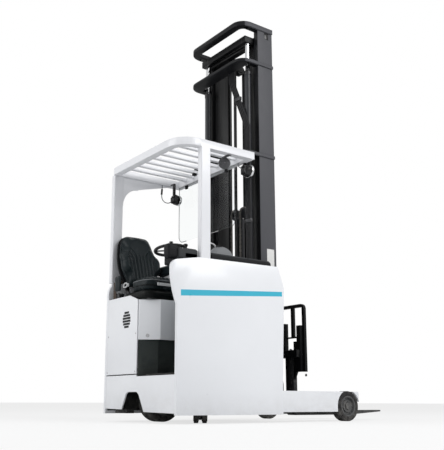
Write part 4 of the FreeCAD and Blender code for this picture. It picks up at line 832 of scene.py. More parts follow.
def buildBack(s, b):
    foot, across, up, rear = backPlaces(b)
    form = bmesh.new()
    bmesh.ops.create_cube(form, size=2.0)
    bmesh.ops.subdivide_edges(form, edges=form.edges, cuts=20, use_grid_fill=True)
    for vert in form.verts:
        a, c, t = vert.co.x, (vert.co.z + 1) / 2, (vert.co.y + 1) / 2
        v = c * b["height"]
        u = a * between(b["halfWidths"], v)
        wing = ease(b["wingFrom"], b["wingTo"], abs(u)) * ease(0.09, 0.17, v) * (1 - ease(0.24, 0.44, v))
        rim = max(abs(a) ** 6, abs(2 * c - 1) ** 10)
        front = rim * 0.026 - b["wingDepth"] * wing
        back = b["depth"] - 0.02 * rim
        vert.co = foot + across * u + up * v + rear * (front + t * (back - front))
    mesh = puffUp(form, "seatBack", s)
    lines = [[(way * u, v) for u, v in line] for line in b["channels"] for way in (1, -1)]
    sewChannels(mesh, lines, (across, up, rear, foot), s)
    for vert in mesh.vertices:
        depth = (vert.co - foot).dot(rear)
        vert.co += rear * (min(b["depth"] + 0.001, max(b["front"], depth)) - depth)
        vert.co.z = max(vert.co.z, b["floor"])
    dressPad(mesh, "seatBack", "seat_backrest")
    guide = [foot + across * way * (half + 0.03) + up * (v + 0.03 * (v / b["height"]) ** 6) + rear * 0.012
             for way in (1, -1) for v, half in b["halfWidths"][::way]]
    buildPiece("backPiping", "seatVinyl", "seat_vinyl", (addTube, onSurface(mesh, guide, s["piping"] * 0.3),
                                                         s["piping"] * 0.9, 3, True, 4, 2), sharp=80)
    # hard shell behind the padding
    outline = [(v, half * 0.97) for v, half in b["halfWidths"] if v > 0.02]
    loop = [foot + across * way * half + up * v + rear * (b["depth"] - 0.006)
            for way in (1, -1) for v, half in outline[::way]]
    buildPiece("seatShell", "dashPlastic", "seat_steel", (addPlate, loop, rear * 0.019, 0.006, 3))


def buildBolster(s):
    low, high = boxOf("hip_bolster")
    form = bmesh.new()
    inset = vec(0.006, 0.006, 0.006)
    addBlock(form, low + inset, high - inset, 0.014, 4)
    mesh = puffUp(form, "hipPad", dict(s, voxel=0.004))
    keepWithin(mesh, low - vec(0.002, 0.004, 0.004), high + vec(-0.0003, 0.002, 0.004))
    dressPad(mesh, "hipPad", "hip_bolster")


baseSet = {  # plinth, struts and rails, metres; small parts by their corners, millimetres
    "rounding": 0.030, "plinthFront": 0.362, "plinthDeep": 0.385, "plinthCorner": 0.090, "strutAcross": 0.112,
    "strutUp": 0.066, "strutBack": 0.100, "strutBolts": (0.04, 0.17), "rails": (0.062, 0.312),
    "handle": [(-9, 196, 1106), (-12, 222, 1108), (-12, 246, 1098), (-12, 250, 1082), (-12, 236, 1074),
               (-12, 206, 1074), (-9, 190, 1082)],
}


def slab(low, high, rounding, segments=2):
    # row for buildPiece: rounded block between two places in millimetres
    return addBlock, place(*low), place(*high), rounding, segments


def buildSeatBase(s):
    # rounded upholstered plinth under the cushion, struts and slide rails behind and below
    low = boxOf("seat_frame")[0]
    cushion = boxOf("seat_cushion")[0]
    front = cushion.y + 0.010
    loop = roundedLoop(low.x - 0.004, s["plinthFront"] - rearToRow, front, low.y + s["plinthDeep"],
                       s["plinthCorner"], low.z + 0.0005)
    lift = vec(0, 0, cushion.z - 0.0005 - low.z - 0.001)
    # the plinth takes the darker seat vinyl, a painted shade
    buildPiece("seatPlinth", "shadedPlinthVinyl", "seat_steel", (addPlate, loop, lift, s["rounding"], 6),
               replaced=("seat_frame",))
    foot, across, up, rear = backPlaces(backSet)
    turn = Matrix.Rotation(-math.radians(backSet["lean"]), 4, "X")
    parts = []
    for side in (-1, 1):
        strut = foot + across * side * s["strutAcross"]
        middle = strut + up * s["strutUp"] + rear * s["strutBack"]
        parts.append((addBlock, middle - mm(18, 7, 132), middle + mm(18, 7, 132), 0.003, 2, turn))
        parts += [(addBolt, strut + up * step + rear * 0.1068, rear, 0.007) for step in s["strutBolts"]]
    for rail in s["rails"]:
        parts.append((addBlock, vec(rail - rearToRow - 0.016, front + 0.02, low.z),
                      vec(rail - rearToRow + 0.016, front + 0.30, low.z + 0.008), 0.002, 2))
    buildPiece("seatStruts", "darkSteel", "seat_steel", *parts)
    ring = [place(*point) for point in s["handle"]]
    buildPiece("reclineHandle", "paleGray", "console_gray", (addTube, ring, 0.0060, 3, True, 8),
               slab((-11, 186, 1078), (6, 200, 1104), 0.003), sharp=70)
    buildPiece("slideBar", "paleGray", "console_gray", slab((106, -95, 1062), (242, -84, 1086), 0.004, 3))
    buildPiece("beltReel", "glossBlack", "seat_steel", slab((4, 352, 958), (62, 432, 1046), 0.012, 4))
    buildPiece("beltWebbing", "beltWebbing", "seat_vinyl", slab((0, 394, 1000), (4, 440, 1120), 0.001),
               slab((-1, 300, 1112), (3, 440, 1140), 0.001))
    buildPiece("beltBuckle", "redPlastic", "seat_steel", slab((372, 196, 1120), (388, 232, 1176), 0.004, 3))


buildCushion(seatSet)
buildBack(seatSet, backSet)
buildBolster(seatSet)
buildSeatBase(baseSet)
print("seat padded and sewn")

upright = vec(0, 0, 1)
helmSet = {  # metres
    "ring": 0.120, "tube": 0.0125, "boss": 0.033, "spokeWidth": 0.021, "spokeDepth": 0.0065,
    "spokeAngles": [90, 210, 330], "knobRadius": 0.019, "knobHeight": 0.034, "knobTurn": 150, "grips": 60,
    "wave": 0.0012, "badge": [(0.014, 0.0172), (0.0150, 0.0182), (0.0162, 0.0172)],
    "cap": [(0.0, 0.017), (0.017, 0.0168), (0.024, 0.0145), (0.029, 0.010), (0.033, 0.004), (0.033, -0.006),
            (0.029, -0.0115), (0.0, -0.0115)],
    "knob": [(0.0, 1.0), (0.55, 0.985), (0.88, 0.90), (1.0, 0.72), (0.95, 0.50), (0.66, 0.28), (0.50, 0.16),
             (0.52, 0.0), (0.0, 0.0)],
}


def buildHelm(s):
    hub, axis = jointOf("helm_turn")
    frameTurn = turnTo(axis)
    tube = [(s["ring"] + s["tube"] * math.cos(math.tau * i / 20), s["tube"] * 0.96 * math.sin(math.tau * i / 20))
            for i in range(20)]
    rim = bmesh.new()
    addSpun(rim, tube + tube[:1], hub, axis, steps=s["grips"] * 4)
    for vert in rim.verts:  # finger waves on the inner underside of the rim
        local = frameTurn.inverted() @ (vert.co - hub)
        under = max(0.0, -local.z / s["tube"])
        vert.co += axis * under * s["wave"] * (0.5 + 0.5 * math.cos(math.atan2(local.y, local.x) * s["grips"]))
    finishPiece(rim, "helmRim", "wheelGrip", "helm_rim", replaced=("steering_wheel",), body="helm", sharp=80)

    def outAt(degrees):
        turn = frameTurn @ Matrix.Rotation(math.radians(degrees), 4, "Z")
        return turn, (turn.to_3x3() @ vec(1, 0, 0)).normalized()

    arms = []
    half = vec((s["ring"] - s["boss"]) / 2 + 0.006, s["spokeWidth"] / 2, s["spokeDepth"] / 2)
    for degrees in s["spokeAngles"]:
        turn, out = outAt(degrees)
        middle = hub + out * (s["ring"] + s["boss"]) / 2 - axis * 0.002
        arms.append((addBlock, middle - half, middle + half, 0.0028, 3, turn))
    buildPiece("helmSpokes", "dashPlastic", "helm_rim", (addSpun, s["cap"], hub, axis, 48), *arms, body="helm")
    buildPiece("helmBadgeRing", "zincSteel", "helm_rim", (addSpun, s["badge"], hub, axis, 40), body="helm")
    foot = hub + outAt(s["knobTurn"])[1] * s["ring"] + axis * (s["tube"] - 0.001)
    knob = [(s["knobRadius"] * across, s["knobHeight"] * rise) for across, rise in s["knob"]]
    buildPiece("helmKnob", "glossBlack", "helm_rim", (addSpun, knob, foot, axis, 36), body="helm")


buildHelm(helmSet)

dashSet = {  # low dash, cover beside the panel, pod at the rear end, millimetres; spun profiles in metres
    "base": [((70, -519.7, 1196), (196, -235, 1262), 0.012, 4)],
    "tray": [((92, -420, 1259), (178, -345, 1271), 0.004, 3)],
    "cover": [((20, -519.7, 1205), (199.5, -430, 1288), 0.016, 5),
              ((62, -521 + 1.4, 1222), (186, -440, 1290.5), 0.010, 4)]
    + [((x, -500, 1289), (x + 4, -455, 1292), 0.0015, 2) for x in range(78, 123, 9)],
    "pod": [((-66, -508, 1203), (28, -429, 1316), 0.024, 5), ((4, -502, 1226), (74, -436, 1300), 0.018, 4)]
    + [((-44, -509.2, z), (4, -506, z + 5), 0.0018, 2) for z in range(1226, 1278, 13)],
    "knobAt": (-16, -468, 1313), "display": [((100, -412, 1270.4), (170, -353, 1272.6), 0.0008, 1)],
    "buttons": [*[(x, 0.0075, 0.005, 20) for x in (86, 110, 134)], (168, 0.0125, 0.006, 28)],
    "pointer": [((166.5, -321, 1267), (169.5, -315, 1278), 0.0012, 2)],
    "column": [(0.046, -0.062), (0.044, -0.052), (0.034, -0.040), (0.030, -0.022), (0.029, -0.0125),
               (0.0, -0.0125), (0.0, -0.062), (0.046, -0.062)],
    "knob": [(0.0, 0.016), (0.012, 0.0155), (0.015, 0.013), (0.015, 0.008), (0.009, 0.006), (0.009, 0.0), (0.0, 0.0)],
}


def buildDash(s):
    def slabs(key):
        return [slab(*row) for row in s[key]]

    look = "dashPlastic", "dash_plastic"
    buildPiece("dashBase", *look, *slabs("base"), (addSpun, s["column"], *jointOf("helm_turn"), 40), *slabs("tray"),
               replaced=("dash_pod", "steering_column"))
    buildPiece("dashCover", "coverPlastic", "dash_plastic", *slabs("cover"))
    knobAt = place(*s["knobAt"])
    buildPiece("dashPod", *look, *slabs("pod"), (addDrum, knobAt, upright, 0.020, 0.006, 0.0015, 28))
    buildPiece("dashDisplay", "glossBlack", "dash_plastic", *slabs("display"))
    buttons = [(addDrum, place(x, -318, 1261.5), upright, radius, rise, 0.0015, steps)
               for x, radius, rise, steps in s["buttons"]]
    buildPiece("dashSwitches", "grayPlastic", "dash_plastic", *buttons, *slabs("pointer"))
    buildPiece("podKnob", "glossBlack", "dash_plastic", (addSpun, s["knob"], knobAt + vec(0, 0, 0.005), upright, 32))


buildDash(dashSet)

consoleSet = {  # millimetres; spun profiles in metres
    "rear": 394, "front": 455, "near": -20, "far": 330, "bottom": 955, "top": 1262, "levers": 4, "pitch": 32,
    "shield": [(118, 1216), (300, 1204), (268, 1160), (118, 1128)],
    "boot": [(0.0, 0.012), (0.006, 0.012), (0.008, 0.009), (0.0075, 0.0075), (0.011, 0.006), (0.0105, 0.0045),
             (0.0135, 0.003), (0.014, 0.0), (0.0, 0.0)],
    "knob": [(0.0, 0.024), (0.006, 0.0235), (0.0095, 0.020), (0.0105, 0.015), (0.009, 0.007), (0.006, 0.0015),
             (0.0, 0.0)],
}


def buildConsole(s):
    # arm console beside the seat: carcass, soft armrest, lever block and a pale side shield
    rear, front, near, far, top = (s[key] for key in ("rear", "front", "near", "far", "top"))
    buildPiece("armConsole", "dashPlastic", "dash_plastic",
               slab((rear + 6, near + 6, s["bottom"]), (front, far - 6, 1215), 0.010, 3),
               slab((rear, near, 1196), (front, 128, top - 14), 0.014, 4), replaced=("side_console",))
    buildPiece("armRest", "seatVinyl", "seat_vinyl",
               slab((rear - 14, 134, 1212), (front, far + 14, top + 40), 0.020, 5))
    shield = [place(rear - 3, y, z) for y, z in s["shield"]]
    buildPiece("consoleShield", "paleGray", "console_gray", (addPlate, shield, mm(5, 0, 0), 0.0018))
    feet = [place((rear + front) / 2, 2 + number * s["pitch"], top - 15) for number in range(s["levers"])]
    leaned = (0, 0.12, 1)
    buildPiece("leverBoots", "matRubber", "dash_plastic", *[(addSpun, s["boot"], foot, upright, 24) for foot in feet],
               sharp=60)
    buildPiece("leverSticks", "zincSteel", "dash_plastic",
               *[(addDrum, foot + mm(0, 0, 8), leaned, 0.0035, 0.040, 0.0008, 16) for foot in feet])
    buildPiece("leverKnobs", "glossBlack", "dash_plastic",
               *[(addSpun, s["knob"], foot + mm(0, 5, 46), leaned, 28) for foot in feet])


buildConsole(consoleSet)

domeSet = {  # millimetres, profile of the knob in metres
    "slot": 15.0, "slotX": (-34, -16), "slotShare": 0.97, "leverFoot": (-30, 10, 104),
    "lever": [(0, 0, -20), (-8, 0, 12), (-40, 0, 26), (-84, 0, 30)],
    "knob": [(0.0, 0.034), (0.010, 0.033), (0.0165, 0.027), (0.0185, 0.018), (0.0165, 0.008), (0.009, 0.001),
             (0.0, 0.0)],
}


def cutAway(form, at, keepSide):
    # drops everything on the far side of a plane
    bmesh.ops.bisect_plane(form, geom=form.verts[:] + form.edges[:] + form.faces[:], plane_co=at,
                           plane_no=keepSide, clear_inner=True)


def buildDome(s):
    # half-round lever housing with a dark slot, and the tall lever that comes out of it
    low, high = boxOf("lever_dome")
    radius = (high.x - low.x) / 2
    centre = vec((low.x + high.x) / 2, high.y - radius, high.z - radius)
    form = bmesh.new()
    bmesh.ops.create_uvsphere(form, u_segments=64, v_segments=40, radius=radius, matrix=Matrix.Translation(centre))
    cutAway(form, centre, upright)
    skirt = bmesh.ops.extrude_edge_only(form, edges=[edge for edge in form.edges if edge.is_boundary])
    lower = [item for item in skirt["geom"] if isinstance(item, bmesh.types.BMVert)]
    bmesh.ops.translate(form, verts=lower, vec=vec(0, 0, low.z - centre.z))
    bmesh.ops.holes_fill(form, edges=[edge for edge in form.edges if edge.is_boundary], sides=0)
    cutAway(form, vec(0, low.y, 0), (0, 1, 0))
    bmesh.ops.holes_fill(form, edges=[edge for edge in form.edges if edge.is_boundary], sides=0)
    finishPiece(form, "domeShell", "grayPlastic", "console_gray", replaced=("lever_dome",), sharp=40)
    rib = radius * 1000 + 1.2
    turns = [math.radians(degrees) for degrees in range(40, 116, 8)]
    lines = [[centre + mm(x, rib * math.cos(turn) * s["slotShare"], rib * math.sin(turn) * s["slotShare"])
              for turn in turns] for x in s["slotX"]]
    buildPiece("domeSlot", "glossBlack", "console_gray",
               *[(addTube, line, s["slot"] / 2000, 3, False, 4) for line in lines], sharp=70)
    top = centre + mm(*s["leverFoot"])
    buildPiece("domeLever", "zincSteel", "console_gray", (addTube, [top + mm(*step) for step in s["lever"]], 0.006),
               sharp=70)
    buildPiece("domeKnob", "blankPlate", "console_gray", (addSpun, s["knob"], top + mm(-78, 0, 30), (-1, 0, 0.1), 32))


buildDome(domeSet)

padSet = {"bars": 10, "pitch": 0.032, "pads": ((0.01, 0.60), (0.615, 0.985))}


def buildTrimPad(s):
    # soft pads on top of the trim, with a run of grip bars
    low, high = boxOf("console_trim")
    length = high.x - low.x
    pads = [(addBlock, vec(low.x + rear * length, low.y + 0.005, high.z - 0.010),
             vec(low.x + front * length, high.y - 0.006, high.z + 0.005), 0.006, 4) for rear, front in s["pads"]]
    starts = [low.x + 0.030 + number * s["pitch"] for number in range(s["bars"])]
    bars = [(addBlock, vec(x, low.y + 0.018, high.z + 0.002), vec(x + 0.010, high.y - 0.020, high.z + 0.0075),
             0.0018, 2) for x in starts]
    buildPiece("trimPad", "coverPlastic", "dash_plastic", *pads, *bars)


buildTrimPad(padSet)
print("controls built")


def addBand(form, at, axis, side, radius, width, thickness, start, end, steps=24):
    # curved strip of flat bar round an axis, angles from the side direction
    axis, side = Vector(axis).normalized(), Vector(side).normalized()
    other = axis.cross(side)
    rows = []
    for step in range(steps + 1):
        angle = start + (end - start) * step / steps
        out = side * math.cos(angle) + other * math.sin(angle)
        rows.append([form.verts.new(at + out * (radius + rise) + axis * shift) for rise, shift in (
            (0, -width / 2), (thickness, -width / 2), (thickness, width / 2), (0, width / 2))])
    for first, second in zip(rows, rows[1:]):
        for index in range(4):
            after = (index + 1) % 4
            form.faces.new((first[index], first[after], second[after], second[index]))
    form.faces.new(rows[0])
    form.faces.new(rows[-1])


lampSet = {  # work lamps: where to look for each, drum radius and lead, and the parts of each drum, metres
    "right": (-600, 0.058, [(0.004, 0.01, 0.012), (-0.02, 0.02, 0.02), (-0.028, 0.03, 0.045), (-0.02, 0.035, 0.066)]),
    "left": (0, 0.048, [(0.006, 0.012, -0.014), (-0.018, 0.016, -0.034), (-0.055, 0.03, -0.034),
                        (-0.082, 0.042, -0.004), (-0.084, 0.05, 0.036), (-0.076, 0.056, 0.082), (-0.07, 0.06, 0.15)]),
    "bodyShare": 0.93, "fins": 5, "finStep": 0.013, "finThick": 0.003, "strapHalf": 0.012, "strapBack": 0.012,
    "strapFront": 0.032, "tab": 0.006, "yoke": 0.003, "yokeWidth": 0.018, "yokeTurn": math.radians(105),
    "leadRadius": 0.0042,
}


def buildLamps(s):
    shell, rims, mirror, glass, lead = [], [], [], [], []
    ahead = vec(1, 0, 0)
    back, half = s["strapBack"], s["strapHalf"]
    for side in ("right", "left"):
        start, radius, guide = s[side]
        low, high = partOf("work_lamps", (0, start, 0), (1000, start + 600, 2300))
        at = vec(low.x, low.y + radius, low.z + radius)
        depth = high.x - low.x
        body = radius * s["bodyShare"]
        shell.append((addSpun, [(0.0, 0.001), (body * 0.4, 0.001), (body * 0.52, 0.004), (body * 0.8, 0.013),
                                (body * 0.95, 0.028), (body, 0.044), (body, depth - 0.012),
                                (body - 0.003, depth - 0.012), (body - 0.004, 0.046), (0.0, 0.03)], at, ahead))
        for number in range(s["fins"]):
            offset = (number - (s["fins"] - 1) / 2) * s["finStep"]
            reach = math.sqrt((body * 0.82) ** 2 - offset ** 2)
            shell.append((addBlock, at + vec(0.0005, offset - s["finThick"] / 2, -reach),
                          at + vec(0.026, offset + s["finThick"] / 2, reach), 0.001, 1))
        rims.append((addSpun, [(body + 0.0005, depth - 0.02), (radius - 0.001, depth - 0.019),
                               (radius, depth - 0.016), (radius, depth - 0.004), (radius - 0.002, depth - 0.0008),
                               (radius - 0.007, depth - 0.0008), (radius - 0.008, depth - 0.005),
                               (body + 0.0005, depth - 0.009), (body + 0.0005, depth - 0.02)], at, ahead))
        bowl = [((radius - 0.008) * step / 10, 0.036 + (depth - 0.042) * (step / 10) ** 2) for step in range(11)]
        mirror += [(addSpun, bowl + [(r, h - 0.001) for r, h in reversed(bowl)], at, ahead),
                   (addDrum, at + ahead * 0.036, ahead, 0.007, 0.018, 0.002, 16)]
        edge = radius - 0.0085
        glass.append((addSpun, [(0.0, depth - 0.002), (edge * 0.6, depth - 0.003), (edge, depth - 0.0055),
                                (edge, depth - 0.0085), (edge * 0.6, depth - 0.006), (0.0, depth - 0.005)],
                      at, ahead))
        shell.append((addBand, at + ahead * (back + 0.03), ahead, upright, body + 0.0004, s["yokeWidth"], s["yoke"],
                      -s["yokeTurn"], s["yokeTurn"]))
        shell += [(addBolt, at + vec(back + 0.03, way * (body + s["yoke"]), 0), (0, way, 0), 0.006)
                  for way in (-1, 1)]
        shell += [(addBlock, at + vec(back, -half, radius * 0.9),
                   vec(low.x + s["strapFront"], at.y + half, high.z), 0.002, 2),
                  (addBlock, at + vec(back, -half, body), at + vec(back + 0.039, half, body + 0.006), 0.001, 1)]
        post = [at + vec(*step) for step in guide]
        if side == "left":
            shell += [(addBlock, vec(low.x + back, at.y, high.z - s["tab"]),
                       vec(low.x + s["strapFront"], high.y, high.z), 0.001, 1),
                      (addDrum, post[-3] + vec(0, 0, 0.01), (0.13, 0.08, 1), 0.009, 0.055, 0.002, 16)]
        lead.append((addTube, post, s["leadRadius"]))
    buildPiece("lampShells", "glossBlack", "lamp_case", *shell, replaced=("work_lamps",))
    buildPiece("lampRims", "chromeRod", "polished_rod", *rims)
    buildPiece("lampMirrors", "reflector", "polished_rod", *mirror)
    buildPiece("lampGlasses", "lampGlass", "clear_pane", *glass)
    buildPiece("lampLeads", "grayPlastic", "hose_rubber", *lead)


buildLamps(lampSet)

hornSet = {"radius": 0.050, "turn": 55.0, "half": 0.017, "rings": 5, "footHalf": 0.016, "footBack": 0.075}


def buildHorn(s):
    low, high = boxOf("warning_horn")
    radius, half = s["radius"], s["half"]
    rim = [point for point in cornersOf("warning_horn") if point.z < low.z + radius]
    middle = vec(sum(point.x for point in rim) / len(rim), sum(point.y for point in rim) / len(rim), low.z + radius)
    turn = math.radians(s["turn"])
    face = vec(-math.cos(turn), -math.sin(turn), 0)
    profile = [(0.0, -half), (radius * 0.45, -half), (radius * 0.5, -half + 0.006), (radius * 0.9, -half + 0.009),
               (radius * 0.99, -half + 0.014), (radius * 0.99, 0.004), (radius * 0.93, 0.008)]
    for ring in range(s["rings"]):
        outer = radius * (0.86 - 0.13 * ring)
        profile += [(outer, 0.007), (outer - 0.0005, half - 0.004), (outer - 0.0035, half - 0.004),
                    (outer - 0.004, 0.007)]
    profile += [(radius * 0.2, 0.008), (radius * 0.18, half - 0.001), (radius * 0.1, half), (0.0, half)]
    spokes = [Matrix.Rotation(math.tau * number / 3 + 0.5, 3, face) @ upright for number in range(3)]
    start = middle + face * (half - 0.006)
    bars = [(addTube, [start + spoke * radius * 0.15, start + spoke * radius * 0.88], 0.0022, 2) for spoke in spokes]
    foot, back = s["footHalf"], s["footBack"]
    buildPiece("horn", "hornPaint", "lamp_case", (addSpun, profile, middle, face, 56), *bars,
               (addBlock, middle + vec(-0.007, -0.012, radius * 0.6),
                vec(middle.x + 0.007, middle.y + 0.012, high.z - 0.003), 0.0015, 2, Matrix.Rotation(turn, 4, "Z")),
               (addBlock, vec(middle.x - foot, middle.y - back, high.z - 0.006),
                vec(middle.x + foot, middle.y + foot, high.z), 0.0015, 2),
               (addBolt, vec(middle.x, middle.y - back + 0.02, high.z - 0.006), (0, 0, -1), 0.006),
               replaced=("warning_horn",))


buildHorn(hornSet)

gussetSet = {  # plate in the corner of the left pillar and its beam, and the slats' screws, metres
    "curveX": 0.150, "curveZ": 0.168, "step": 0.009, "reach": 0.525, "thick": 0.008, "inset": 0.005, "rise": 0.1,
    "lap": 0.01, "screws": 7, "screw": 0.006, "clipAt": (0.075, 0.12),
}


def buildGuardParts(s):
    foot = partOf("overhead_guard", (-100, 300, 1000), (400, 600, 1400))
    beam = partOf("overhead_guard", (300, 300, 2000), (900, 600, 2200))
    front, under, inner = foot[1].x, beam[0].z, foot[0].y + s["inset"]
    base = under - s["rise"]
    turns = [math.pi * (1 - number / 24) for number in range(13)]
    outline = [(front + s["curveX"] * (1 + math.cos(turn)), base - s["curveZ"] * (1 - math.sin(turn)))
               for turn in turns]
    outline += [(front + s["curveX"] + s["step"], base + s["step"]), (front + s["reach"], under),
                (front + s["reach"], under + s["lap"]), (front - s["lap"], under + s["lap"]),
                (front - s["lap"], base - s["curveZ"])]
    buildPiece("guardGusset", "guardPaint", "guard_white",
               (addPlate, [vec(x, inner, z) for x, z in outline], vec(0, s["thick"], 0)))
    low, high = boxOf("guard_slats")
    rows = [low.x + (number + 0.5) * (high.x - low.x) / s["screws"] for number in range(s["screws"])]
    buildPiece("slatScrews", "zincSteel", "polished_rod",
               *[(addScrew, vec(x, y, low.z), (0, 0, -1), s["screw"]) for x in rows
                 for y in (low.y + 0.02, high.y - 0.02)])
    at = vec(high.x - s["clipAt"][0], s["clipAt"][1], low.z)
    buildPiece("beamClip", "dashPlastic", "dash_plastic",
               (addBlock, at + vec(-0.018, -0.014, -0.022), at + vec(0.018, 0.014, 0.002), 0.004))


buildGuardParts(gussetSet)
print("lamps, horn and guard parts built")

plateSet = {"back": 0.105, "front": 0.026, "low": 1.273, "high": 1.421, "thick": 0.0012, "screw": 0.004,
            "inset": 0.009}


def buildMastPlate(s):
    low, high = boxOf("outer_mast")
    rear, front, face, inset = high.x - s["back"], high.x - s["front"], low.y - s["thick"], s["inset"]
    screws = [(addScrew, vec(x, face, z), (0, -1, 0), s["screw"]) for x in (rear + inset, front - inset)
              for z in (s["low"] + inset, s["high"] - inset)]
    buildPiece("mastPlate", "blankPlate", "guard_white",
               (addBlock, vec(rear, face, s["low"]), vec(front, low.y + 0.0005, s["high"]), 0.0005, 1), *screws,
               body="mast")


buildMastPlate(plateSet)

chainSet = {  # leaf chains: pitch and plates, and the sheave that turns them, metres
    "pitch": 0.01905, "plateHigh": 0.0085, "plateThick": 0.0019, "lacing": (-0.0085, -0.0042, 0.0, 0.0042, 0.0085),
    "pinRadius": 0.0028, "pinHalf": 0.0108, "chainY": 0.062, "frontLow": 0.620, "thick": 0.012,
}


def chainPlaces(s):
    # points one pitch apart up the rear run, over the sheave and down the front run
    low, high = boxOf("free_lift_chains")
    rearX, frontX = low.x + s["thick"] / 2, high.x - s["thick"] / 2
    radius = (frontX - rearX) / 2
    top = high.z - radius - s["thick"] / 2
    straight = top - low.z
    arc = math.pi * radius
    total = straight + arc + top - s["frontLow"]
    for number in range(int(total / s["pitch"]) + 1):
        run = number * s["pitch"]
        if run <= straight:
            yield vec(rearX, 0, low.z + run)
        elif run <= straight + arc:
            angle = (run - straight) / radius
            yield vec(rearX + radius - radius * math.cos(angle), 0, top + radius * math.sin(angle))
        else:
            yield vec(frontX, 0, top - (run - straight - arc))


def linkMesh(name, s, plates):
    # one pitch of chain along X: its pin and every other side plate
    form = bmesh.new()
    half = s["plateHigh"] / 2
    addDrum(form, vec(0, -s["pinHalf"], 0), (0, 1, 0), s["pinRadius"], 2 * s["pinHalf"], steps=8)
    turns = [(end, math.radians(start + 60 * step)) for end, start in ((0.0, 90), (s["pitch"], -90))
             for step in range(4)]
    for y in plates:
        outline = [vec(end + half * math.cos(turn), y - s["plateThick"] / 2, half * math.sin(turn))
                   for end, turn in turns]
        addPlate(form, outline, vec(0, s["plateThick"], 0))
    return meshOf(form, name)


def buildChains(s):
    form = bmesh.new()
    pairs = [linkMesh("outerLink", s, s["lacing"][::2]), linkMesh("innerLink", s, s["lacing"][1::2])]
    places = list(chainPlaces(s))
    across = vec(0, 1, 0)
    for side in (-1, 1):
        for number, (first, second) in enumerate(zip(places, places[1:])):
            along = (second - first).normalized()
            turn = Matrix((along, across, -along.cross(across))).transposed().to_4x4()
            link = pairs[number % 2].copy()
            link.transform(Matrix.Translation(first + across * side * s["chainY"]) @ turn)
            form.from_mesh(link)
            bpy.data.meshes.remove(link)
    finishPiece(form, "liftChains", "oiledSteel", "chain_steel", ("free_lift_chains",), "lift_crosshead", 30)


buildChains(chainSet)

glandSet = {"barrelRise": 0.003, "length": 0.036, "wiper": 0.005, "notches": 6, "foot": 0.04, "stub": 0.014}


def glandParts(at, barrel, rod, s):
    # screwed cylinder head with spanner notches and a wiper ring round the rod
    outer, inner, low, lip = barrel + s["barrelRise"], barrel - 0.001, -s["length"], rod + 0.0012
    yield addSpun, [(inner, low), (outer - 0.001, low), (outer, low + 0.001), (outer, -0.004), (outer - 0.003, 0.0),
                    (rod + 0.008, 0.0), (rod + 0.006, s["wiper"]), (lip, s["wiper"]), (lip, -0.002),
                    (inner, -0.003), (inner, low)], at, upright, 48
    for angle, out in spokesOf(s["notches"], True):
        edge = at + out * (outer - 0.001)
        yield (addBlock, edge + vec(-0.003, -0.003, -0.022), edge + vec(0.003, 0.003, -0.012), 0.001, 1,
               Matrix.Rotation(angle, 4, "Z"))


def buildGlands(s):
    barrels, rods = boxOf("lift_barrels"), boxOf("lift_rods")
    barrel, rod = ((high.x - low.x) / 2 for low, high in (barrels, rods))
    x, reach = (barrels[0].x + barrels[1].x) / 2, barrel + s["stub"]
    shapes = []
    for y in (barrels[0].y + barrel, barrels[1].y - barrel):
        foot = vec(x, y, barrels[0].z + s["foot"])
        shapes += [*glandParts(vec(x, y, barrels[1].z), barrel, rod, s),
                   (addDrum, foot, (-1, 0, 0), 0.011, reach, 0.001, 20),
                   (addBolt, foot - vec(reach, 0, 0), (-1, 0, 0), 0.009, 0.01)]
    buildPiece("liftGlands", "darkSteel", "cylinder_tube", *shapes, body="mast")


buildGlands(glandSet)
print("mast plate, chains and cylinder heads built")

spacerSet = {"radius": 0.056, "half": 0.0105, "edge": 0.002}


def buildSpacer(s):
    # disc between the two caster wheels
    radius, half, edge = s["radius"], s["half"], s["edge"]
    profile = [(0.0, -half), (radius - edge, -half), (radius, -half + edge), (radius, half - edge),
               (radius - edge, half), (0.0, half)]
    buildPiece("casterSpacer", "castIron", "cast_hub", (addSpun, profile, *jointOf("caster_spin"), 48),
               body="caster_roller")


buildSpacer(spacerSet)

coverSet = {
    "screwInset": 0.018, "screw": 0.006, "slotHalf": 0.0052, "slotMargin": 0.05, "slotGap": 0.009,
    "lockAt": (68, -15, 667), "latchY": 0.25, "latchDrop": 0.075,
    "lock": [(0.0, 0.002), (0.008, 0.002), (0.010, 0.004), (0.013, 0.0035), (0.0145, 0.001), (0.0145, -0.001),
             (0.0, -0.001)],
}


def clustersOf(heights, gap):
    # heights grouped wherever the gap between them is small
    rows = []
    for height in sorted(set(heights)):
        if not rows or height - rows[-1][-1] > gap:
            rows.append([])
        rows[-1].append(height)
    return [(row[0], row[-1]) for row in rows]


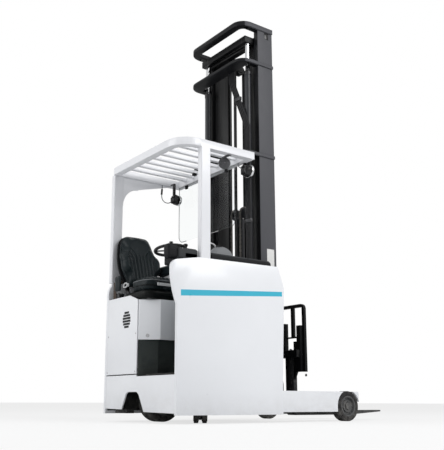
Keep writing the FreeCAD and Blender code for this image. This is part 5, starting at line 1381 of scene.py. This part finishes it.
def buildCoverParts(s):
    # screws and cooling slots on the rear cover, lock of the seat base, latches on the battery hood
    low, high = boxOf("rear_cover")
    inset, margin, half = s["screwInset"], s["slotMargin"], s["slotHalf"]
    buildPiece("coverScrews", "zincSteel", "body_white",
               *[(addScrew, vec(low.x, y, z), (-1, 0, 0), s["screw"]) for y in (low.y + inset, high.y - inset)
                 for z in (low.z + inset, (low.z + high.z) / 2)])
    inside = [point for point in cornersOf("rear_cover") if low.y + margin < point.y < high.y - margin
              and low.z + margin < point.z < high.z - margin]
    slots = []
    for bottom, top in clustersOf([round(point.z, 3) for point in inside], s["slotGap"]):
        inRow = [point.y for point in inside if bottom - 0.001 < point.z < top + 0.001]
        middle = (bottom + top) / 2
        slots.append((addBlock, vec(low.x - 0.0006, min(inRow) - 0.002, middle - half),
                      vec(low.x + 0.004, max(inRow) + 0.002, middle + half), 0.0016, 2))
    buildPiece("ventSlots", "matRubber", "lining_dark", *slots)
    base = nodes["seat_base"].data
    surface = BVHTree.FromPolygons(cornersOf("seat_base"), [face.vertices for face in base.polygons])
    spot, normal = surface.find_nearest(place(*s["lockAt"]))[:2]
    buildPiece("baseLock", "zincSteel", "body_white", (addSpun, s["lock"], spot, normal, 28))
    hood = boxOf("battery_hood")[1]
    latches = []
    for side in (-1, 1):
        at = vec(hood.x, side * s["latchY"], hood.z - s["latchDrop"])
        latches += [(addBlock, at + vec(-0.001, -0.032, -0.045), at + vec(0.005, 0.032, 0.045), 0.004, 3),
                    (addBlock, at + vec(0.004, -0.014, -0.03), at + vec(0.014, 0.014, 0.028), 0.004, 3)]
        latches += [(addScrew, at + vec(0.005, 0, z), (1, 0, 0), 0.005) for z in (-0.036, 0.037)]
    buildPiece("hoodLatches", "darkSteel", "body_white", *latches)


buildCoverParts(coverSet)

linerSet = {"inset": 0.002, "thick": 0.005, "top": 0.34, "front": 0.45, "gap": 0.002, "rise": 0.012}


def buildArchLiner(s):
    # dark liner on the inner face of the left panel, seen through the wheel arch
    skirt, inner = boxOf("rear_skirt"), boxOf("side_panel_left")[0].y - s["inset"]
    rear = skirt[1].x
    buildPiece("archLiner", "matRubber", "lining_dark",
               (addBlock, vec(rear + s["gap"], inner - s["thick"], skirt[0].z + s["rise"]),
                vec(rear + s["front"], inner, s["top"]), 0.001, 1))


buildArchLiner(linerSet)

wellSet = {  # mat and pedals in the footwell, from the well's near corner; pedals by start, width and length
    "margin": 0.008, "mat": 0.007, "pitch": 0.026, "wide": 0.009, "rise": 0.0025, "base": 0.006, "left": -0.075,
    "pedals": [(0.066, 0.062, 0.096), (0.168, 0.078, 0.074), (0.292, 0.104, 0.118)], "pedalRise": 0.052,
    "lean": math.radians(38), "pedalBack": 0.044, "bars": 5, "barShare": 5.6,
}


def buildWell(s):
    low, high = boxOf("footwell_lining")
    base, margin = low.z + s["base"], s["margin"]
    rear, front, right, left = low.x + margin, high.x - margin - 0.008, low.y + margin + 0.006, s["left"]
    starts = [right + 0.016 + number * s["pitch"] for number in range(int((left - right) / s["pitch"]) - 1)]
    ribs = [(addBlock, vec(rear + 0.014, y, base + 0.005),
             vec(front - 0.014, y + s["wide"], base + s["mat"] + s["rise"]), 0.0012, 1) for y in starts]
    buildPiece("wellMat", "matRubber", "lining_dark",
               (addBlock, vec(rear, right, base), vec(front, left, base + s["mat"]), 0.003, 2), *ribs)
    pads, arms = [], []
    lean = Matrix.Rotation(s["lean"], 4, "X")
    for start, width, length in s["pedals"]:
        half = vec(width / 2, length / 2, 0.005)
        centre = vec(low.x + start + half.x, low.y + s["pedalBack"] + half.y, base + s["pedalRise"])
        bar = vec(half.x * 0.84, 0.0035, 0.0015)
        pads.append((addBlock, centre - half, centre + half, 0.003, 2, lean))
        for number in range(s["bars"]):
            at = centre + lean @ vec(0, (number - 2) * length / s["barShare"], 0.0055)
            pads.append((addBlock, at - bar, at + bar, 0.001, 1, lean))
        arms += [(addBlock, centre + vec(-0.009, -0.004, -0.05), centre + vec(0.009, 0.010, -0.004), 0.002, 2),
                 (addDrum, centre + vec(-half.x * 0.7, -half.y * 0.55, -0.034), (1, 0, 0), 0.006, half.x * 1.4,
                  0.001, 16)]
    buildPiece("pedalPads", "matRubber", "wheel_rubber", *pads)
    buildPiece("pedalArms", "darkSteel", "seat_steel", *arms)


buildWell(wellSet)

motorSet = {"ribs": 28, "ribRise": 0.003, "capShare": 0.93, "bolts": 6, "boltShare": 0.78, "boxDrop": 0.07}


def buildMotorParts(s):
    low, high = boxOf("drive_motor")
    middle, radius = (low + high) / 2, (high.x - low.x) / 2
    top, cap = vec(middle.x, middle.y, high.z), radius * s["capShare"]
    profile = [(0.0, 0.012), (radius * 0.35, 0.012), (radius * 0.42, 0.006), (cap, 0.006), (cap + 0.003, 0.002),
               (cap + 0.003, -0.001), (0.0, -0.001)]
    bolts = [(addBolt, top + spoke * radius * s["boltShare"] + vec(0, 0, 0.006), upright, 0.007)
             for _, spoke in spokesOf(s["bolts"], True)]
    size = vec(s["ribRise"], 0.003, (high.z - low.z) * 0.36)
    ribs = [(addBlock, middle + spoke * radius - size, middle + spoke * radius + size, 0.001, 1,
             Matrix.Rotation(angle, 4, "Z")) for angle, spoke in spokesOf(s["ribs"], True)]
    buildPiece("motorFins", "castIron", "motor_case", (addSpun, profile, top, upright), *bolts, *ribs)
    box = vec(high.x + 0.001, middle.y, high.z - s["boxDrop"])
    studs = [(addDrum, box + vec(0.012, y, 0.044), upright, 0.009, 0.020, 0.002, 20) for y in (-0.025, 0.0, 0.025)]
    screws = [(addScrew, box + vec(0.036, y, z), (1, 0, 0), 0.0035) for y in (-0.036, 0.036)
              for z in (-0.036, 0.036)]
    buildPiece("motorTerminals", "dashPlastic", "motor_case",
               (addBlock, box + vec(-0.012, -0.045, -0.045), box + vec(0.036, 0.045, 0.045), 0.005, 3),
               *studs, *screws)


buildMotorParts(motorSet)

tieSet = {"bolt": 0.010, "gap": 0.15, "rear": 0.045, "front": 0.05, "pad": (0.093, 0.046, 0.065, 0.003, 0.0025)}


def buildTieBolts(s):
    # bolts of the tie rings and the dark corner plates at the mast's head
    low, high = boxOf("outer_mast")
    sides = (-1, low.y), (1, high.y)
    bolts = [(addBolt, vec(x, y, (bottom + top) / 2), (0, side, 0), s["bolt"])
             for bottom, top in clustersOf([round(point.z, 4) for point in cornersOf("mast_ties")], s["gap"])
             for x in (low.x + s["rear"], high.x - s["front"]) for side, y in sides]
    buildPiece("tieBolts", "darkSteel", "mast_dark", *bolts, body="mast")
    rear, front, bottom, top, thick = s["pad"]
    pads = [(addBlock, vec(high.x - rear, min(y, y + side * thick), high.z - bottom),
             vec(high.x - front, max(y, y + side * thick), high.z - top), 0.001, 2) for side, y in sides]
    buildPiece("mastCorners", "glossBlack", "mast_dark", *pads, body="mast")


buildTieBolts(tieSet)

forkSet = {"pin": 0.009, "pinRise": 0.012, "pinBack": 0.022, "bolt": 0.009, "handle": 0.0028,
           "bend": [(-0.016, 0.006), (-0.006, 0.014), (0.014, 0.014), (0.022, 0.004)],
           "near": (1300, -600, 100), "far": (1500, 600), "above": 0.12, "rises": (0.035, 0.085)}


def buildForkParts(s):
    shapes = []
    for side in ("left", "right"):
        low, high = boxOf("fork_" + side)
        x, middle = low.x + s["pinBack"], (low.y + high.y) / 2
        shapes += [(addDrum, vec(x, middle, high.z - 0.004), upright, s["pin"], s["pinRise"] + 0.004, 0.002, 20),
                   (addTube, [vec(x, middle + shift, high.z + rise) for shift, rise in s["bend"]], s["handle"])]
    buildPiece("forkPins", "zincSteel", "polished_rod", *shapes, body="fork_frame")
    low, high = boxOf("load_backrest")
    posts = partOf("load_backrest", s["near"], (*s["far"], (low.z + s["above"]) * 1000))
    bolts = [(addBolt, vec(high.x, y, low.z + rise), (1, 0, 0), s["bolt"])
             for y in (posts[0].y + 0.022, posts[1].y - 0.022) for rise in s["rises"]]
    buildPiece("restBolts", "zincSteel", "mast_dark", *bolts, body="fork_frame")


buildForkParts(forkSet)

screenSet = {"edge": 0.0035, "corner": 0.060, "clip": 0.016, "reach": 0.06, "inset": 0.12}


def buildScreenEdge(s):
    # edge strip down the pane's left side and round its corner, and the clips that hold the pane
    low, high = boxOf("mast_screen")
    middle, corner = (low.x + high.x) / 2, s["corner"]
    turns = [math.pi / 12 * step for step in range(1, 6)]
    line = [(high.y, high.z), (high.y, high.z - 0.1), (high.y, low.z + corner)]
    line += [(high.y - corner * (1 - math.cos(turn)), low.z + corner * (1 - math.sin(turn))) for turn in turns]
    line += [(high.y - corner, low.z), (high.y - corner - s["reach"], low.z)]
    buildPiece("screenEdge", "grayPlastic", "wheel_rubber",
               (addTube, [vec(middle, y, z) for y, z in line], s["edge"], 3, False, 4, 2), sharp=70)
    clips = []
    for y in (low.y + s["inset"], (low.y + high.y) / 2, high.y - s["inset"]):
        at = vec(middle, y, high.z)
        clips += [(addBlock, at + vec(-0.009, -s["clip"], -0.034), at + vec(0.009, s["clip"], -0.001), 0.003, 2),
                  (addScrew, at + vec(-0.009, 0, -0.02), (-1, 0, 0), 0.006)]
    buildPiece("screenClips", "dashPlastic", "dash_plastic", *clips)


buildScreenEdge(screenSet)

clampSet = {"heights": (0.55, 1.05, 1.65, 2.25, 2.8), "high": 0.034, "margin": 0.005, "bolt": 0.005}


def crossOf(node, height):
    # where the edges of a frame piece pass one height
    mesh = nodes[node].data
    found = []
    for edge in mesh.edges:
        first, second = (mesh.vertices[i].co for i in edge.vertices)
        if (first.z - height) * (second.z - height) < 0:
            found.append(first.lerp(second, (height - first.z) / (second.z - first.z)))
    return found


def buildClamps(s):
    # blocks that hold the hoses to the mast
    edge = vec(s["margin"], s["margin"], s["high"] / 2)
    shapes = []
    for height in s["heights"]:
        low, high = spanOf(crossOf("supply_hoses", height))
        low.z = high.z = height
        shapes.append((addBlock, low - edge, high + edge, 0.004, 2))
        shapes += [(addBolt, vec(low.x - s["margin"], y, height), (-1, 0, 0), s["bolt"]) for y in (low.y, high.y)]
    buildPiece("hoseClamps", "darkSteel", "mast_dark", *shapes, body="mast")


buildClamps(clampSet)
print("small parts built")

scene.view_settings.view_transform = "Standard"

cameraSet = {
    "at": place(-2858.3, -4817.7, 161.0), "yaw": 0.9499, "pitch": 0.2227, "roll": 0.0030,
    "lens": {"lens": 56.55, "shift_x": 0.0484, "shift_y": 0.0361, "clip_start": 0.1, "clip_end": 200.0},
}


def buildCamera(s):
    data = bpy.data.cameras.new("viewCamera")
    for key, value in s["lens"].items():
        setattr(data, key, value)
    scene.camera = newObject("viewCamera", data)
    (cosYaw, sinYaw), (cosPitch, sinPitch), (cosRoll, sinRoll) = (
        (math.cos(s[key]), math.sin(s[key])) for key in ("yaw", "pitch", "roll"))
    forward = vec(cosYaw * cosPitch, sinYaw * cosPitch, sinPitch)
    level = vec(sinYaw, -cosYaw, 0)
    raised = level.cross(forward)
    rows = Matrix((level * cosRoll + raised * sinRoll, raised * cosRoll - level * sinRoll, -forward))
    scene.camera.matrix_world = Matrix.Translation(s["at"]) @ rows.transposed().to_4x4()


floorSet = {"half": 60, "scale": 3.0, "detail": 4.0, "low": (0.86, 0.865, 0.87, 1), "high": (0.90, 0.90, 0.905, 1),
            "rough": 0.8, "shine": 0.1, "glow": 1.0, "seen": 0.72}


def buildFloor(s):
    form = bmesh.new()
    bmesh.ops.create_grid(form, x_segments=1, y_segments=1, size=s["half"])
    mesh = meshOf(form, "floor")
    newObject("floor", mesh)
    material, tree, inputs = newMaterial("paleFloor")
    noise = addNode(tree, "ShaderNodeTexNoise", Scale=s["scale"], Detail=s["detail"])
    feed(tree, inputs["Base Color"], mixColour(tree, remap(tree, noise.outputs[0], 0.3, 0.7), s["low"], s["high"]))
    feed(tree, inputs["Roughness"], s["rough"])
    feed(tree, inputs["Specular IOR Level"], s["shine"])
    glow = addNode(tree, "ShaderNodeEmission", Strength=s["glow"])
    rays = tree.nodes.new("ShaderNodeLightPath").outputs
    blend = tree.nodes.new("ShaderNodeMixShader")
    for socket, value in zip(blend.inputs, (maths(tree, "MULTIPLY", rays["Is Camera Ray"], s["seen"]),
                                            tree.nodes["Principled BSDF"].outputs[0], glow.outputs[0])):
        feed(tree, socket, value)
    feed(tree, tree.nodes["Material Output"].inputs["Surface"], blend.outputs[0])
    mesh.materials.append(material)


worldSet = {"glossy": 0.5, "dim": 0.46, "bright": 1.0}


def buildWorld(s):
    scene.world = bpy.data.worlds.new("studio")
    scene.world.use_nodes = True
    tree = scene.world.node_tree
    background = tree.nodes["Background"].inputs
    rays = tree.nodes.new("ShaderNodeLightPath").outputs
    glossy = maths(tree, "MULTIPLY", rays["Is Glossy Ray"], s["glossy"])
    seen = maths(tree, "MAXIMUM", rays["Is Camera Ray"], maths(tree, "MAXIMUM", glossy, rays["Is Transmission Ray"]))
    feed(tree, background["Color"], (1, 1, 1, 1))
    feed(tree, background["Strength"], remap(tree, seen, 0.0, 1.0, s["dim"], s["bright"]))


lampAim = vec(0, 0, 1.5)
lampTable = {  # place, width and height in metres, power in watts
    "keyLamp": ((1.5, -6.5, 5.2), (5.0, 4.0), 340),
    "fillLamp": ((-6.5, 1.5, 3.4), (4.0, 4.0), 170),
}


def buildLamp(name, at, size, power):
    data = bpy.data.lights.new(name, "AREA")
    data.shape = "RECTANGLE"
    data.size, data.size_y = size
    data.energy = power
    turn = (lampAim - Vector(at)).to_track_quat("-Z", "Y").to_matrix().to_4x4()
    newObject(name, data).matrix_world = Matrix.Translation(at) @ turn


buildCamera(cameraSet)
buildFloor(floorSet)
buildWorld(worldSet)
for name, row in lampTable.items():
    buildLamp(name, *row)
print("stage ready")
